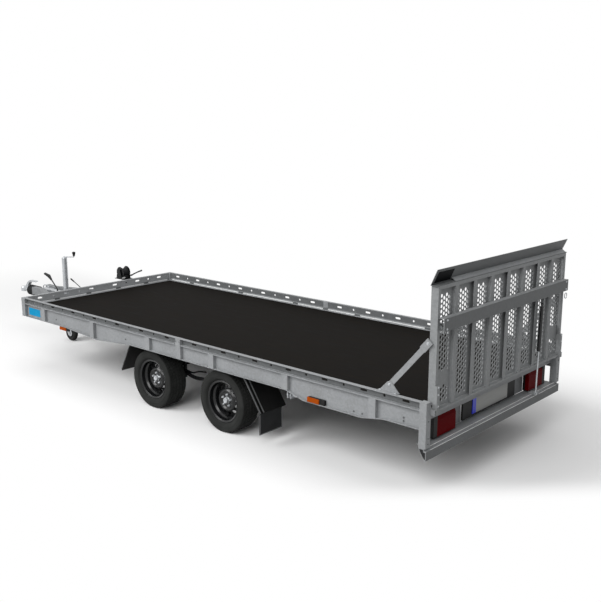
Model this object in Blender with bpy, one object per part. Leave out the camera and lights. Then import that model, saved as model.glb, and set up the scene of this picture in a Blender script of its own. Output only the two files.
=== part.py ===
# Tandem-axle car hauler trailer: low drop-deck bed, perforated side rails, rear loading ramp.
# Metres, +X right, +Y forward to the coupling, +Z up, origin on the ground under the middle
# of the outline. Pieces are drawn in bed coordinates, where y = 0 is the bed's rear end.

import bpy
import bmesh
from math import cos, floor, hypot, pi, radians, sin
from mathutils import Matrix, Vector

for leftover in list(bpy.data.objects):
    bpy.data.objects.remove(leftover, do_unlink=True)

# Clearances
SEAT = 0.0003          # between two pieces that are bolted or welded together
RUN = 0.0055           # between a moving piece and its neighbours
PIN_PLAY = 0.0005      # between a pin and its eye

# Bed
BED_LENGTH = 5.05
BED_WIDTH = 2.00
SHEET = 0.004          # folded steel sheet
CHANNEL_LIP = 0.034    # how far the side channels open outward
RAIL_HEIGHT = 0.060
RAIL_RISE = 0.085      # rail top above the floor
BEAM_DEPTH = 0.170     # side beam below the rail, in the middle
BEAM_END_DEPTH = 0.135
BEAM_TAPER_REAR = (0.35, 0.55)     # distances from the bed's rear end
BEAM_TAPER_FRONT = (0.75, 1.25)    # distances from the bed's front end
RIB_WIDTH = 0.065
RIB_PITCH = 0.83
MID_POST_WIDTH = 0.061
POST_WIDTH = 0.055
POST_DEPTH = 0.057
FRONT_POST_WIDTH = 0.050
FRONT_POST_DEPTH = 0.060
FLOOR_THICKNESS = 0.018
LEDGE_WIDTH = 0.036    # strip that holds the plywood down
JOIST_WIDTH = 0.050
JOIST_HEIGHT = 0.087

# Rail perforations
SLOT_LENGTH = 0.050
SLOT_HEIGHT = 0.016
SIDE_SLOT_PITCH = 0.36
FRONT_SLOT_PITCH = 0.32
ROUND_HOLE_RADIUS = 0.009
PERFORATION_HEIGHT = 0.028         # above the rail's seat

# Wheels
TYRE_RADIUS = 0.2675
TYRE_WIDTH = 0.195
TYRE_INSET = 0.070     # outer sidewall inside the bed's side
TYRE_SEGMENTS = 32
RIM_RADIUS = 0.183
RIM_SEGMENTS = 16
REAR_AXLE_Y = 2.068
AXLE_PITCH = 0.929
AXLE_BEAM = 0.080
SWING_ARM_LENGTH = 0.150
SWING_ARM_THICKNESS = 0.030
STUB_RADIUS = 0.020

# Mudguards
GUARD_RISE = 0.006     # above the tyre
GUARD_SHEET = 0.005
GUARD_INSET = 0.050    # outer edge inside the bed's side
GUARD_WIDTH = 0.310
GUARD_FRONT_SLOPE = 0.140
GUARD_REAR_SLOPE = 0.182
GUARD_FRONT_REACH = 0.273          # from the front axle to the top bend
GUARD_REAR_REACH = 0.292
GUARD_END_HEIGHT = 0.277           # above the ground
FLAP_WIDTH = 0.260
FLAP_LENGTH = 0.174
FLAP_THICKNESS = 0.006

# Chassis and drawbar
ARM_WIDTH = 0.060
ARM_HEIGHT = 0.090
ARM_WELD = 0.002       # how far the joists are let into the arms
CHASSIS_REAR_Y = 0.40
CHASSIS_FRONT_Y = 4.66
NECK_Y = 6.15          # where the drawbar's arms run parallel again
NECK_END_Y = 6.34
HOUSING_WIDTH = 0.130

# Vertical stack, from the ground up
GUARD_UNDERSIDE = 2 * TYRE_RADIUS + GUARD_RISE
JOIST_BOTTOM = GUARD_UNDERSIDE + GUARD_SHEET + 0.0137
JOIST_TOP = JOIST_BOTTOM + JOIST_HEIGHT
FLOOR_BOTTOM = JOIST_TOP + SEAT
FLOOR_TOP = FLOOR_BOTTOM + FLOOR_THICKNESS
RAIL_TOP = FLOOR_TOP + RAIL_RISE
RAIL_SEAT = RAIL_TOP - RAIL_HEIGHT
BEAM_TOP = RAIL_SEAT - SEAT
ARM_TOP = JOIST_BOTTOM + ARM_WELD
ARM_BOTTOM = ARM_TOP - ARM_HEIGHT

# Across the bed
HALF = BED_WIDTH / 2
WEB_OUT = HALF - CHANNEL_LIP + SHEET
WEB_IN = HALF - CHANNEL_LIP
TYRE_OUT = HALF - TYRE_INSET
TYRE_IN = TYRE_OUT - TYRE_WIDTH
GUARD_OUT = HALF - GUARD_INSET
GUARD_IN = GUARD_OUT - GUARD_WIDTH
ARM_OUT = GUARD_IN - 0.010
ARM_IN = ARM_OUT - ARM_WIDTH

# Ramp
RAMP_HALF = 0.935
RAMP_DEPTH = 0.055
RAMP_FRONT_Y = 0.035   # tread face, towards the bed
RAMP_HEIGHT = 0.855
RAMP_FOOT = 0.010      # bottom edge above the floor
STILE_WIDTH = 0.030
TREAD_SHEET = 0.004
BAR_PITCH = 0.235
BAR_WIDTH = 0.040
HINGE_Y = -0.015
HINGE_RISE = 0.015     # above the floor
HINGE_PIN_RADIUS = 0.008
ARM_SPLIT_RISE = 0.195             # top of the hinge arms above the floor
CROSSBAR_RISE = 0.565
CROSSBAR_HEIGHT = 0.090
CROSSBAR_DEPTH = 0.042
CROSSBAR_HALF = 0.920
FLAP_RISE = 0.110
FLAP_LEAN = 0.050
FLAP_HALF = 0.950

# Ramp stays and lift spring
STAY_WIDTH = 0.040
STAY_THICKNESS = 0.0055
STAY_CLIP_SHARE = 1.3              # the clip's width, in stay widths
STAY_PIVOT_Y = 0.337
STAY_PIVOT_RISE = 0.050            # above the rail
STAY_TOP_Y = 0.045
STAY_TOP_RISE = 0.385
STAY_PIN_RADIUS = 0.006
SPRING_X = 0.51
SPRING_TOP = (-0.045, 0.500)       # y, and rise above the hinge
SPRING_EYE = (-0.035, -0.228)
SPRING_TUBE_RADIUS = 0.015
SPRING_TUBE_LENGTH = 0.359
SPRING_ROD_RADIUS = 0.006
SPRING_LUG_X = SPRING_X + SPRING_TUBE_RADIUS + 0.0135    # clear of the tube as it swings past

# Rear end
BUMPER_HALF = 0.970
BUMPER_HEIGHT = 0.064
BUMPER_BOTTOM_DROP = 0.401         # below the rail top
BUMPER_REAR_Y = -0.048
BUMPER_STEP = 0.017
LAMP_X = (HALF - 0.45, HALF - 0.17)
LAMP_HEIGHT = 0.155
PLATE_HALF = 0.26
PLATE_HOLDER_HALF = 0.39
PLATE_HEIGHT = 0.150

# Coupling
COUPLING_DROP = 0.085              # ball centre below the arms' top
NOSE_Y = 6.78
GAITER_REAR_Y = 6.385
GAITER_FRONT_Y = 6.600

# Jockey wheel
JOCKEY_X = -0.066
JOCKEY_Y = 5.673
JOCKEY_TRAIL = 0.070
JOCKEY_RADIUS = 0.100
JOCKEY_WIDTH = 0.060
JOCKEY_TUBE_RADIUS = 0.030
JOCKEY_LEG_RADIUS = 0.024
JOCKEY_TUBE_BOTTOM = 0.440
JOCKEY_TUBE_TOP = 0.980
JOCKEY_TRAVEL = 0.200

# Winch
WINCH_X = (0.320, 0.420)
WINCH_Y = 5.150
WINCH_RADIUS = 0.075

REAR_REACH = RAMP_FRONT_Y - RAMP_DEPTH - CROSSBAR_DEPTH
ORIGIN_Y = (NOSE_Y + REAR_REACH) / 2

# name: colour, roughness, metallic
FINISHES = {
    'galvanised': ((0.52, 0.53, 0.54), 0.45, 0.9),
    'zinc': ((0.66, 0.67, 0.68), 0.3, 1.0),
    'plywood': ((0.035, 0.032, 0.028), 0.7, 0.0),
    'black_steel': ((0.012, 0.012, 0.013), 0.4, 0.3),
    'black_plastic': ((0.010, 0.010, 0.011), 0.5, 0.0),
    'rubber': ((0.016, 0.016, 0.017), 0.75, 0.0),
    'red_lens': ((0.30, 0.006, 0.008), 0.2, 0.0),
    'amber_lens': ((0.60, 0.13, 0.01), 0.25, 0.0),
    'white_plate': ((0.75, 0.75, 0.73), 0.4, 0.0),
}

scene_root = bpy.context.scene.collection


# Places in bed coordinates, so that nothing is written twice
pivots = {}


def pivot(name, at, parent=None):
    empty = bpy.data.objects.new(name, None)
    scene_root.objects.link(empty)
    empty.empty_display_size = 0.1
    start = Vector((0, 0, 0))
    if parent:
        empty.parent = parent
        start = pivots[parent.name]
    empty.location = Vector(at) - start
    pivots[name] = Vector(at)
    return empty


trailer = bpy.data.objects.new('trailer', None)
scene_root.objects.link(trailer)
trailer.location = (0, -ORIGIN_Y, 0)
pivots['trailer'] = Vector((0, 0, 0))


def finished(bm):
    bmesh.ops.recalc_face_normals(bm, faces=bm.faces)
    mesh = bpy.data.meshes.new('shape')
    bm.to_mesh(mesh)
    bm.free()
    return mesh


# A closed solid from a 2-D outline, (y, z) along x, (x, z) along y or (x, y) along z
def prism(outline, axis, low, high):
    place = {
        'x': lambda a, b, c: (c, a, b),
        'y': lambda a, b, c: (a, c, b),
        'z': lambda a, b, c: (a, b, c),
    }[axis]
    bm = bmesh.new()
    near = [bm.verts.new(place(a, b, low)) for a, b in outline]
    far = [bm.verts.new(place(a, b, high)) for a, b in outline]
    bm.faces.new(near)
    bm.faces.new(far)
    for i in range(len(outline)):
        j = (i + 1) % len(outline)
        bm.faces.new((near[i], near[j], far[j], far[i]))
    return finished(bm)


def box(x, y, z):
    return prism([(x[0], y[0]), (x[1], y[0]), (x[1], y[1]), (x[0], y[1])], 'z', z[0], z[1])


# The outline of a folded sheet, from the line of its outer face; the metal lies on the left
def folded(line, thickness):
    inner = []
    for i, point in enumerate(line):
        before = line[i - 1] if i > 0 else None
        after = line[i + 1] if i + 1 < len(line) else None
        sides = []
        for start, end in ((before, point), (point, after)):
            if start and end:
                along = Vector(end) - Vector(start)
                sides.append(Vector((-along.y, along.x)).normalized())
        normal = sum(sides, Vector((0, 0))).normalized()
        inner.append(Vector(point) + normal * thickness / normal.dot(sides[0]))
    return [tuple(p) for p in line] + [tuple(p) for p in reversed(inner)]


def circle(centre, radius, segments):
    return [(centre[0] + radius * cos(2 * pi * k / segments),
             centre[1] + radius * sin(2 * pi * k / segments)) for k in range(segments)]


# A turned solid: profile rows are (distance along the axis, radius); closed makes a ring
def turned(profile, axis, centre, segments, closed=False):
    place = {
        'x': lambda d, a, b: (centre[0] + d, centre[1] + a, centre[2] + b),
        'y': lambda d, a, b: (centre[0] + a, centre[1] + d, centre[2] + b),
        'z': lambda d, a, b: (centre[0] + a, centre[1] + b, centre[2] + d),
    }[axis]
    bm = bmesh.new()
    rows = []
    for distance, radius in profile:
        if radius == 0:
            rows.append([bm.verts.new(place(distance, 0, 0))])
        else:
            rows.append([bm.verts.new(place(distance, *p))
                         for p in circle((0, 0), radius, segments)])
    pairs = list(zip(rows, rows[1:]))
    if closed:
        pairs.append((rows[-1], rows[0]))
    else:
        for end in (rows[0], rows[-1]):
            if len(end) > 1:
                bm.faces.new(end)
    for near, far in pairs:
        for k in range(segments):
            m = (k + 1) % segments
            corners = [near[k % len(near)], near[m % len(near)],
                       far[m % len(far)], far[k % len(far)]]
            bm.faces.new(dict.fromkeys(corners))
    return finished(bm)


def rod(axis, centre, low, high, radius, segments=12):
    return turned([(low, radius), (high, radius)], axis, centre, segments)


# A section, rows of (sideways, upward), carried along a path with mitred corners
def sweep(section, path, up=(0, 0, 1)):
    path = [Vector(p) for p in path]
    headings = [(b - a).normalized() for a, b in zip(path, path[1:])]
    side = headings[0].cross(Vector(up)).normalized()
    lift = side.cross(headings[0])
    bm = bmesh.new()
    ring = [path[0] + side * a + lift * b for a, b in section]
    rings = [[bm.verts.new(p) for p in ring]]
    for i, point in enumerate(path[1:]):
        ahead = headings[min(i + 1, len(headings) - 1)]
        plane = (headings[i] + ahead).normalized()
        ring = [p + headings[i] * ((point - p).dot(plane) / headings[i].dot(plane))
                for p in ring]
        rings.append([bm.verts.new(p) for p in ring])
    bm.faces.new(rings[0])
    bm.faces.new(rings[-1])
    for near, far in zip(rings, rings[1:]):
        for k in range(len(section)):
            m = (k + 1) % len(section)
            bm.faces.new((near[k], near[m], far[m], far[k]))
    return finished(bm)


def bent_rod(path, radius, sides=10):
    return sweep(circle((0, 0), radius, sides), path, up=(1, 0.01, 0.02))


def material(name, finish):
    colour, roughness, metallic = FINISHES[finish]
    made = bpy.data.materials.new(name)
    made.use_nodes = True
    shader = made.node_tree.nodes['Principled BSDF']
    shader.inputs['Base Color'].default_value = (*colour, 1)
    shader.inputs['Roughness'].default_value = roughness
    shader.inputs['Metallic'].default_value = metallic
    return made


# Links a mesh drawn in bed coordinates as an object with its origin on its parent's pivot
def placed(name, mesh, parent, collection):
    mesh.transform(Matrix.Translation(-pivots[parent.name]))
    made = bpy.data.objects.new(name, mesh)
    collection.objects.link(made)
    made.parent = parent
    return made


# One named object: its solids united, then its cuts taken out
def node(name, finish, solids, cuts=(), parent=trailer, smooth=False):
    made = placed(name, solids[0], parent, scene_root)
    made.data.materials.append(material(name, finish))
    for operation, tools in (('UNION', solids[1:]), ('DIFFERENCE', cuts)):
        if not tools:
            continue
        group = bpy.data.collections.new(f'{name} {operation.lower()}')
        scene_root.children.link(group)
        for count, mesh in enumerate(tools):
            tool = placed(f'{name}.{operation.lower()}{count}', mesh, parent, group)
            tool.hide_render = True
            tool.display_type = 'WIRE'
        boolean = made.modifiers.new(operation.title(), 'BOOLEAN')
        boolean.operation = operation
        boolean.operand_type = 'COLLECTION'
        boolean.collection = group
    if smooth:
        for mesh in solids:
            mesh.shade_smooth()
            mesh.set_sharp_from_angle(angle=radians(40))
    return made


# A (low, high) pair across the bed, measured outward from its middle on one side
def across(side, inner, outer):
    return tuple(sorted((side * inner, side * outer)))


SIDES = (('left', -1), ('right', 1))


# Stations along the bed, counted both ways from its middle
def stations(first, pitch, margin):
    middle = BED_LENGTH / 2
    count = floor((middle - margin - first) / pitch) + 1
    offsets = [first + pitch * k for k in range(count)]
    return sorted({round(middle + way * offset, 6) for offset in offsets for way in (-1, 1)})


BEAM_START = POST_DEPTH + SEAT
BEAM_END = BED_LENGTH - FRONT_POST_DEPTH - SEAT
RIBS = stations(RIB_PITCH / 2, RIB_PITCH, 0.30)


# The side beam's lower edge, rows of (y, z)
BEAM_EDGE = [
    (BEAM_START, RAIL_SEAT - BEAM_END_DEPTH),
    (BEAM_TAPER_REAR[0], RAIL_SEAT - BEAM_END_DEPTH),
    (BEAM_TAPER_REAR[1], RAIL_SEAT - BEAM_DEPTH),
    (BED_LENGTH - BEAM_TAPER_FRONT[1], RAIL_SEAT - BEAM_DEPTH),
    (BED_LENGTH - BEAM_TAPER_FRONT[0], RAIL_SEAT - BEAM_END_DEPTH),
    (BEAM_END, RAIL_SEAT - BEAM_END_DEPTH),
]


def beam_edge(y):
    for (y0, z0), (y1, z1) in zip(BEAM_EDGE, BEAM_EDGE[1:]):
        if y0 <= y <= y1:
            return z0 + (z1 - z0) * (y - y0) / (y1 - y0)
    raise ValueError(y)


# The panels between the ribs, as (rear, front) pairs
def panels(start, end):
    walls = [(y - RIB_WIDTH / 2, y + RIB_WIDTH / 2) for y in RIBS]
    middle = BED_LENGTH / 2
    walls.append((middle - MID_POST_WIDTH / 2, middle + MID_POST_WIDTH / 2))
    edges = [start] + [edge for wall in sorted(walls) for edge in wall] + [end]
    return list(zip(edges[::2], edges[1::2]))


def side_beam(name, side):
    blank = prism(BEAM_EDGE + [(BEAM_END, BEAM_TOP), (BEAM_START, BEAM_TOP)], 'x',
                  *across(side, WEB_IN, HALF))
    ledge = box(across(side, WEB_IN - LEDGE_WIDTH, WEB_IN + SHEET / 2),
                (BEAM_START, BEAM_END), (FLOOR_TOP + SEAT, FLOOR_TOP + SEAT + SHEET))
    pockets = []
    for rear, front in panels(BEAM_START - SHEET, BEAM_END + SHEET):
        low = max(rear, BEAM_START)
        high = min(front, BEAM_END)
        corners = [low] + [y for y, _ in BEAM_EDGE if low < y < high] + [high]
        outline = [(y, beam_edge(y) + SHEET) for y in corners]
        outline[0] = (rear, outline[0][1])
        outline[-1] = (front, outline[-1][1])
        outline += [(front, BEAM_TOP - SHEET), (rear, BEAM_TOP - SHEET)]
        pockets.append(prism(outline, 'x', *across(side, WEB_OUT, HALF + SHEET)))
    return node(name, 'galvanised', [blank, ledge], pockets)


# A slot's outline, long way first, with round ends
def slot(centre, length, height):
    reach = length / 2 - height / 2
    turn = [radians(a) for a in (-90, -30, 30, 90)]
    right = [(centre[0] + reach + height / 2 * cos(a), centre[1] + height / 2 * sin(a))
             for a in turn]
    return right + [(2 * centre[0] - a, 2 * centre[1] - b) for a, b in right]


# A C-section that opens outward: rows of (distance out from the web's inner face, height)
RAIL_SECTION = folded([(CHANNEL_LIP, RAIL_HEIGHT), (0, RAIL_HEIGHT), (0, 0),
                       (CHANNEL_LIP, 0)], SHEET)


def rail_cuts(axis, web, low, high, pitch):
    height = RAIL_SEAT + PERFORATION_HEIGHT
    middle = (low + high) / 2
    half = (high - low) / 2 - 0.10
    count = floor(half / pitch)
    faces = sorted((web - SHEET * 2, web + SHEET * 2))
    cuts = []
    for k in range(count):
        for way in (-1, 1):
            centre = (middle + way * pitch * (k + 0.5), height)
            cuts.append(prism(slot(centre, SLOT_LENGTH, SLOT_HEIGHT), axis, *faces))
    for k in range(1, count):
        for way in (-1, 1):
            centre = (middle + way * pitch * k, height)
            cuts.append(prism(circle(centre, ROUND_HOLE_RADIUS, 8), axis, *faces))
    return cuts


def side_rail(name, side):
    section = [(side * (WEB_IN + a), RAIL_SEAT + b) for a, b in RAIL_SECTION]
    channel = prism(section, 'y', BEAM_START, BEAM_END)
    middle = BED_LENGTH / 2
    mid_post = box(across(side, WEB_IN - SHEET, HALF),
                   (middle - MID_POST_WIDTH / 2, middle + MID_POST_WIDTH / 2),
                   (RAIL_SEAT, RAIL_TOP))
    return node(name, 'galvanised', [channel, mid_post] + stay_bracket(side),
                rail_cuts('x', side * WEB_IN, BEAM_START, BEAM_END, SIDE_SLOT_PITCH))


# The upstand on the rail that the ramp stay turns on, with its bolt
STAY_INNER = RAMP_HALF + RUN
STAY_OUTER = STAY_INNER + STAY_THICKNESS
STAY_PIVOT = (STAY_PIVOT_Y, RAIL_TOP + STAY_PIVOT_RISE)


def stay_bracket(side):
    y, z = STAY_PIVOT
    plate_in = STAY_OUTER + PIN_PLAY
    plate_out = plate_in + 0.006
    foot = box(across(side, plate_in, HALF - 0.010), (y - 0.085, y + 0.085),
               (RAIL_TOP - SHEET / 2, RAIL_TOP + SHEET))
    plate = prism([(y - 0.080, RAIL_TOP), (y + 0.080, RAIL_TOP), (y + 0.022, z + 0.020),
                   (y - 0.022, z + 0.020)], 'x', *across(side, plate_in, plate_out))
    pin = rod('x', (0, y, z), *across(side, STAY_INNER - PIN_PLAY - 0.002, plate_out + 0.004),
              STAY_PIN_RADIUS)
    head = rod('x', (0, y, z), *across(side, STAY_INNER - PIN_PLAY - 0.007,
                                       STAY_INNER - PIN_PLAY), STAY_PIN_RADIUS * 1.7)
    return [foot, plate, pin, head]


def front_beam():
    web = BED_LENGTH - CHANNEL_LIP
    section = folded([(BED_LENGTH, BEAM_TOP), (web, BEAM_TOP), (web, JOIST_BOTTOM),
                      (BED_LENGTH, JOIST_BOTTOM)], SHEET)
    channel = prism(section, 'x', -HALF + SHEET, HALF - SHEET)
    ledge = box((-WEB_IN + LEDGE_WIDTH + SEAT, WEB_IN - LEDGE_WIDTH - SEAT),
                (BED_LENGTH - FRONT_POST_DEPTH - 0.02, web + SHEET / 2),
                (FLOOR_TOP + SEAT, FLOOR_TOP + SEAT + SHEET))
    posts = [box(across(side, HALF - FRONT_POST_WIDTH, HALF),
                 (BED_LENGTH - FRONT_POST_DEPTH, BED_LENGTH),
                 (RAIL_SEAT - BEAM_END_DEPTH, RAIL_TOP)) for _, side in SIDES]
    return node('front_beam', 'galvanised', [channel, ledge] + posts)


def front_rail():
    web = BED_LENGTH - CHANNEL_LIP
    section = [(web + a, RAIL_SEAT + b) for a, b in RAIL_SECTION]
    reach = HALF - FRONT_POST_WIDTH - SEAT
    channel = prism(section, 'x', -reach, reach)
    return node('rail_front', 'galvanised', [channel],
                rail_cuts('y', web, -reach, reach, FRONT_SLOT_PITCH))


def floor_panel():
    return node('floor_panel', 'plywood', [
        box((-WEB_IN + SEAT, WEB_IN - SEAT),
            (POST_DEPTH + SEAT, BED_LENGTH - FRONT_POST_DEPTH - SEAT),
            (FLOOR_BOTTOM, FLOOR_TOP))])


# Arm section, centred sideways with its top at zero
ARM_SECTION = [(-ARM_WIDTH / 2, -ARM_HEIGHT), (ARM_WIDTH / 2, -ARM_HEIGHT),
               (ARM_WIDTH / 2, 0), (-ARM_WIDTH / 2, 0)]
ARM_X = (ARM_IN + ARM_OUT) / 2
NECK_X = HOUSING_WIDTH / 2 + SEAT + ARM_WIDTH / 2


def chassis_frame():
    solids = []
    for _, side in SIDES:
        solids.append(sweep(ARM_SECTION, [(side * ARM_X, CHASSIS_REAR_Y, ARM_TOP),
                                          (side * ARM_X, CHASSIS_FRONT_Y, ARM_TOP)]))
    reach = WEB_IN - SEAT
    for y in RIBS + [BED_LENGTH / 2]:
        solids.append(box((-reach, reach), (y - JOIST_WIDTH / 2, y + JOIST_WIDTH / 2),
                          (JOIST_BOTTOM, JOIST_TOP)))
    return node('chassis_frame', 'galvanised', solids)


# Half the clear width between the drawbar's arms at y
def neck_reach(y):
    share = min(max((y - DRAWBAR_BEND_Y) / (NECK_Y - DRAWBAR_BEND_Y), 0), 1)
    return ARM_X + (NECK_X - ARM_X) * share - ARM_WIDTH / 2


DRAWBAR_BEND_Y = CHASSIS_FRONT_Y + 0.12
BRACE_DEPTH = 0.050
BRACE_HEIGHT = 0.060
JOCKEY_BRACE_Y = JOCKEY_Y + JOCKEY_TUBE_RADIUS + 0.012
MIDDLE_BRACE_Y = 5.25


def drawbar():
    solids = []
    for _, side in SIDES:
        solids.append(sweep(ARM_SECTION, [(side * x, y, ARM_TOP - ARM_WELD - SEAT) for x, y in (
            (ARM_X, CHASSIS_FRONT_Y + SEAT), (ARM_X, DRAWBAR_BEND_Y),
            (NECK_X, NECK_Y), (NECK_X, NECK_END_Y))]))
    for y in (MIDDLE_BRACE_Y, JOCKEY_BRACE_Y):
        reach = neck_reach(y) + 0.015
        solids.append(box((-reach, reach), (y, y + BRACE_DEPTH),
                          (ARM_TOP - 0.012 - BRACE_HEIGHT, ARM_TOP - 0.012)))
    return node('drawbar', 'galvanised', solids)


HINGE = (HINGE_Y, FLOOR_TOP + HINGE_RISE)
BUMPER_BOTTOM = RAIL_TOP - BUMPER_BOTTOM_DROP
BUMPER_TOP = BUMPER_BOTTOM + BUMPER_HEIGHT
LEDGE_TOP = BUMPER_TOP + BUMPER_STEP
BRACKET_Y = POST_DEPTH + 0.043     # lamps and number plate are bolted to this plane
SILL_BOTTOM = JOIST_TOP - 0.047


def rear_frame():
    thick = SHEET + 0.001
    rear = BUMPER_REAR_Y
    step = rear + 0.045
    bumper = prism(folded([(BRACKET_Y + thick, LEDGE_TOP), (step, LEDGE_TOP), (step, BUMPER_TOP),
                           (rear, BUMPER_TOP), (rear, BUMPER_BOTTOM),
                           (rear + 0.040, BUMPER_BOTTOM)], thick),
                   'x', -BUMPER_HALF, BUMPER_HALF)
    sill = prism([(POST_DEPTH - 0.012, SILL_BOTTOM), (BRACKET_Y + 0.030, SILL_BOTTOM),
                  (BRACKET_Y + 0.030, JOIST_TOP), (POST_DEPTH, JOIST_TOP),
                  (POST_DEPTH, FLOOR_TOP), (POST_DEPTH - 0.012, FLOOR_TOP)],
                 'x', -WEB_IN + SEAT, WEB_IN - SEAT)
    solids = [bumper, sill]
    chamfers = []
    for _, side in SIDES:
        inner = HALF - POST_WIDTH
        solids.append(box(across(side, inner, HALF), (0, POST_DEPTH),
                          (LEDGE_TOP - thick / 2, RAIL_TOP)))
        solids.append(box(across(side, inner, inner + 0.010), (HINGE_Y - 0.018, 0.010),
                          (HINGE[1] - 0.020, HINGE[1] + 0.020)))
        solids.append(rod('x', (0, *HINGE), *across(side, inner - 0.038, inner + 0.005),
                          HINGE_PIN_RADIUS, 16))
        for low, high in ((PLATE_HALF + 0.02, PLATE_HOLDER_HALF - 0.02),
                          (LAMP_X[0] + 0.03, LAMP_X[1] - 0.03)):
            solids.append(box(across(side, low, high), (BRACKET_Y, BRACKET_Y + thick),
                              (LEDGE_TOP - thick / 2, SILL_BOTTOM + 0.010)))
        chamfers.append(prism([(side * (BUMPER_HALF - 0.035), rear - 0.01),
                               (side * (BUMPER_HALF + 0.01), rear - 0.01),
                               (side * (BUMPER_HALF + 0.01), rear + 0.045)],
                              'z', BUMPER_BOTTOM - 0.01, BUMPER_TOP + 0.001))
    lug = prism([(SPRING_EYE[0] - 0.012, BUMPER_TOP - thick / 2),
                 (SPRING_EYE[0] + 0.060, BUMPER_TOP - thick / 2),
                 (SPRING_EYE[0] + 0.012, HINGE[1] + SPRING_EYE[1] + 0.012),
                 (SPRING_EYE[0] - 0.012, HINGE[1] + SPRING_EYE[1] + 0.012)],
                'x', SPRING_LUG_X, SPRING_LUG_X + thick)
    solids.append(lug)
    return node('rear_frame', 'galvanised', solids, chamfers)


LAMP_TOP = SILL_BOTTOM - 0.002
LAMP_BOTTOM = LAMP_TOP - LAMP_HEIGHT
LAMP_REAR_Y = BRACKET_Y - 0.053


# Black housing with a red lens let into its rear face
def lamp(name, side):
    low, high = LAMP_X
    split = high - 0.045
    node(f'{name}_housing', 'black_plastic', [
        box(across(side, low, high), (BRACKET_Y - 0.022, BRACKET_Y - SEAT),
            (LAMP_BOTTOM, LAMP_TOP)),
        box(across(side, split, high), (LAMP_REAR_Y, BRACKET_Y - 0.010),
            (LAMP_BOTTOM, LAMP_TOP))])
    node(f'{name}_lens', 'red_lens', [prism(
        [(LAMP_REAR_Y, LAMP_BOTTOM + 0.004), (BRACKET_Y - 0.022 - SEAT, LAMP_BOTTOM + 0.004),
         (BRACKET_Y - 0.022 - SEAT, LAMP_TOP - 0.004), (LAMP_REAR_Y + 0.010, LAMP_TOP - 0.004),
         (LAMP_REAR_Y, LAMP_TOP - 0.030)],
        'x', *across(side, low, split - SEAT))])


def number_plate():
    top = LAMP_TOP - 0.004
    back = BRACKET_Y - SEAT
    holder_front = back - 0.014
    node('plate_holder', 'black_plastic', [
        box((-PLATE_HOLDER_HALF, PLATE_HOLDER_HALF), (holder_front, back),
            (top - PLATE_HEIGHT, top))])
    node('number_plate', 'white_plate', [
        box((-PLATE_HALF, PLATE_HALF), (holder_front - SEAT - 0.005, holder_front - SEAT),
            (top - PLATE_HEIGHT + 0.018, top - 0.018))])


# Amber side markers under the beam, rows of (name, front y of the lens, bracket's way)
MARKERS = (('rear', 1.053, -1), ('front', 4.36, -1))


def side_marker(name, side, y, way):
    edge = min(beam_edge(y), beam_edge(y + way * 0.15))
    top = edge - SEAT
    x = across(side, HALF - 0.030, HALF - 0.004)
    lens = box(x, tuple(sorted((y, y + way * 0.112))), (top - 0.034, top - 0.004))
    back = box(across(side, HALF - 0.034, HALF - 0.010),
               tuple(sorted((y + way * 0.010, y + way * 0.150))), (top - 0.030, top))
    return node(name, 'amber_lens', [lens, back])


AXLES = (('rear', REAR_AXLE_Y), ('front', REAR_AXLE_Y + AXLE_PITCH))
BEAM_RISE = 0.045                  # axle beam's centre above the wheel centre
HUB_DEPTH = 0.085                  # from the wheel's inner face to the hub's inner face


# Rubber-sprung axle: a beam under the chassis arms, a swing arm and a stub at each end
def axle(name, y):
    beam_y = y + SWING_ARM_LENGTH
    beam_z = TYRE_RADIUS + BEAM_RISE
    half = AXLE_BEAM / 2
    arm_in = ARM_OUT + 0.012
    solids = [box((-arm_in, arm_in), (beam_y - half, beam_y + half),
                  (beam_z - half, beam_z + half))]
    arm_bottom = ARM_BOTTOM - SEAT
    for _, side in SIDES:
        solids.append(prism([(beam_y - half - 0.05, arm_bottom), (beam_y - half, beam_z),
                             (beam_y + half, beam_z), (beam_y + half + 0.05, arm_bottom)],
                            'x', *across(side, ARM_IN + 0.01, ARM_OUT - 0.01)))
        swing = [(y - 0.035, TYRE_RADIUS - 0.030), (y + 0.020, TYRE_RADIUS - 0.045),
                 (beam_y + half + 0.010, beam_z - half - 0.010),
                 (beam_y + half + 0.010, beam_z + half + 0.010),
                 (beam_y - half, beam_z + half + 0.010), (y - 0.035, TYRE_RADIUS + 0.040)]
        solids.append(prism(swing, 'x', *across(side, arm_in - 0.004,
                                                arm_in + SWING_ARM_THICKNESS)))
        solids.append(rod('x', (0, y, TYRE_RADIUS),
                          *across(side, arm_in + SWING_ARM_THICKNESS - 0.004,
                                  TYRE_IN + HUB_DEPTH + 0.035), STUB_RADIUS, 24))
    return node(name, 'black_steel', solids)


# The mudguard's outer line over both wheels, from its front end to its rear end
def mudguard(name, side):
    rear_axle, front_axle = (y for _, y in AXLES)
    top = GUARD_UNDERSIDE + GUARD_SHEET
    line = [(front_axle + GUARD_FRONT_REACH + GUARD_FRONT_SLOPE, GUARD_END_HEIGHT),
            (front_axle + GUARD_FRONT_REACH, top),
            (rear_axle - GUARD_REAR_REACH, top),
            (rear_axle - GUARD_REAR_REACH - GUARD_REAR_SLOPE, GUARD_END_HEIGHT)]
    shell = prism(folded(line, GUARD_SHEET), 'x', *across(side, GUARD_IN, GUARD_OUT))
    pads = [box(across(side, GUARD_IN + 0.08, GUARD_IN + 0.20),
                (y - JOIST_WIDTH / 2, y + JOIST_WIDTH / 2), (top - 0.001, JOIST_BOTTOM - SEAT))
            for y in RIBS if rear_axle - GUARD_REAR_REACH < y < front_axle + GUARD_FRONT_REACH]
    return node(name, 'black_plastic', [shell] + pads)


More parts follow.
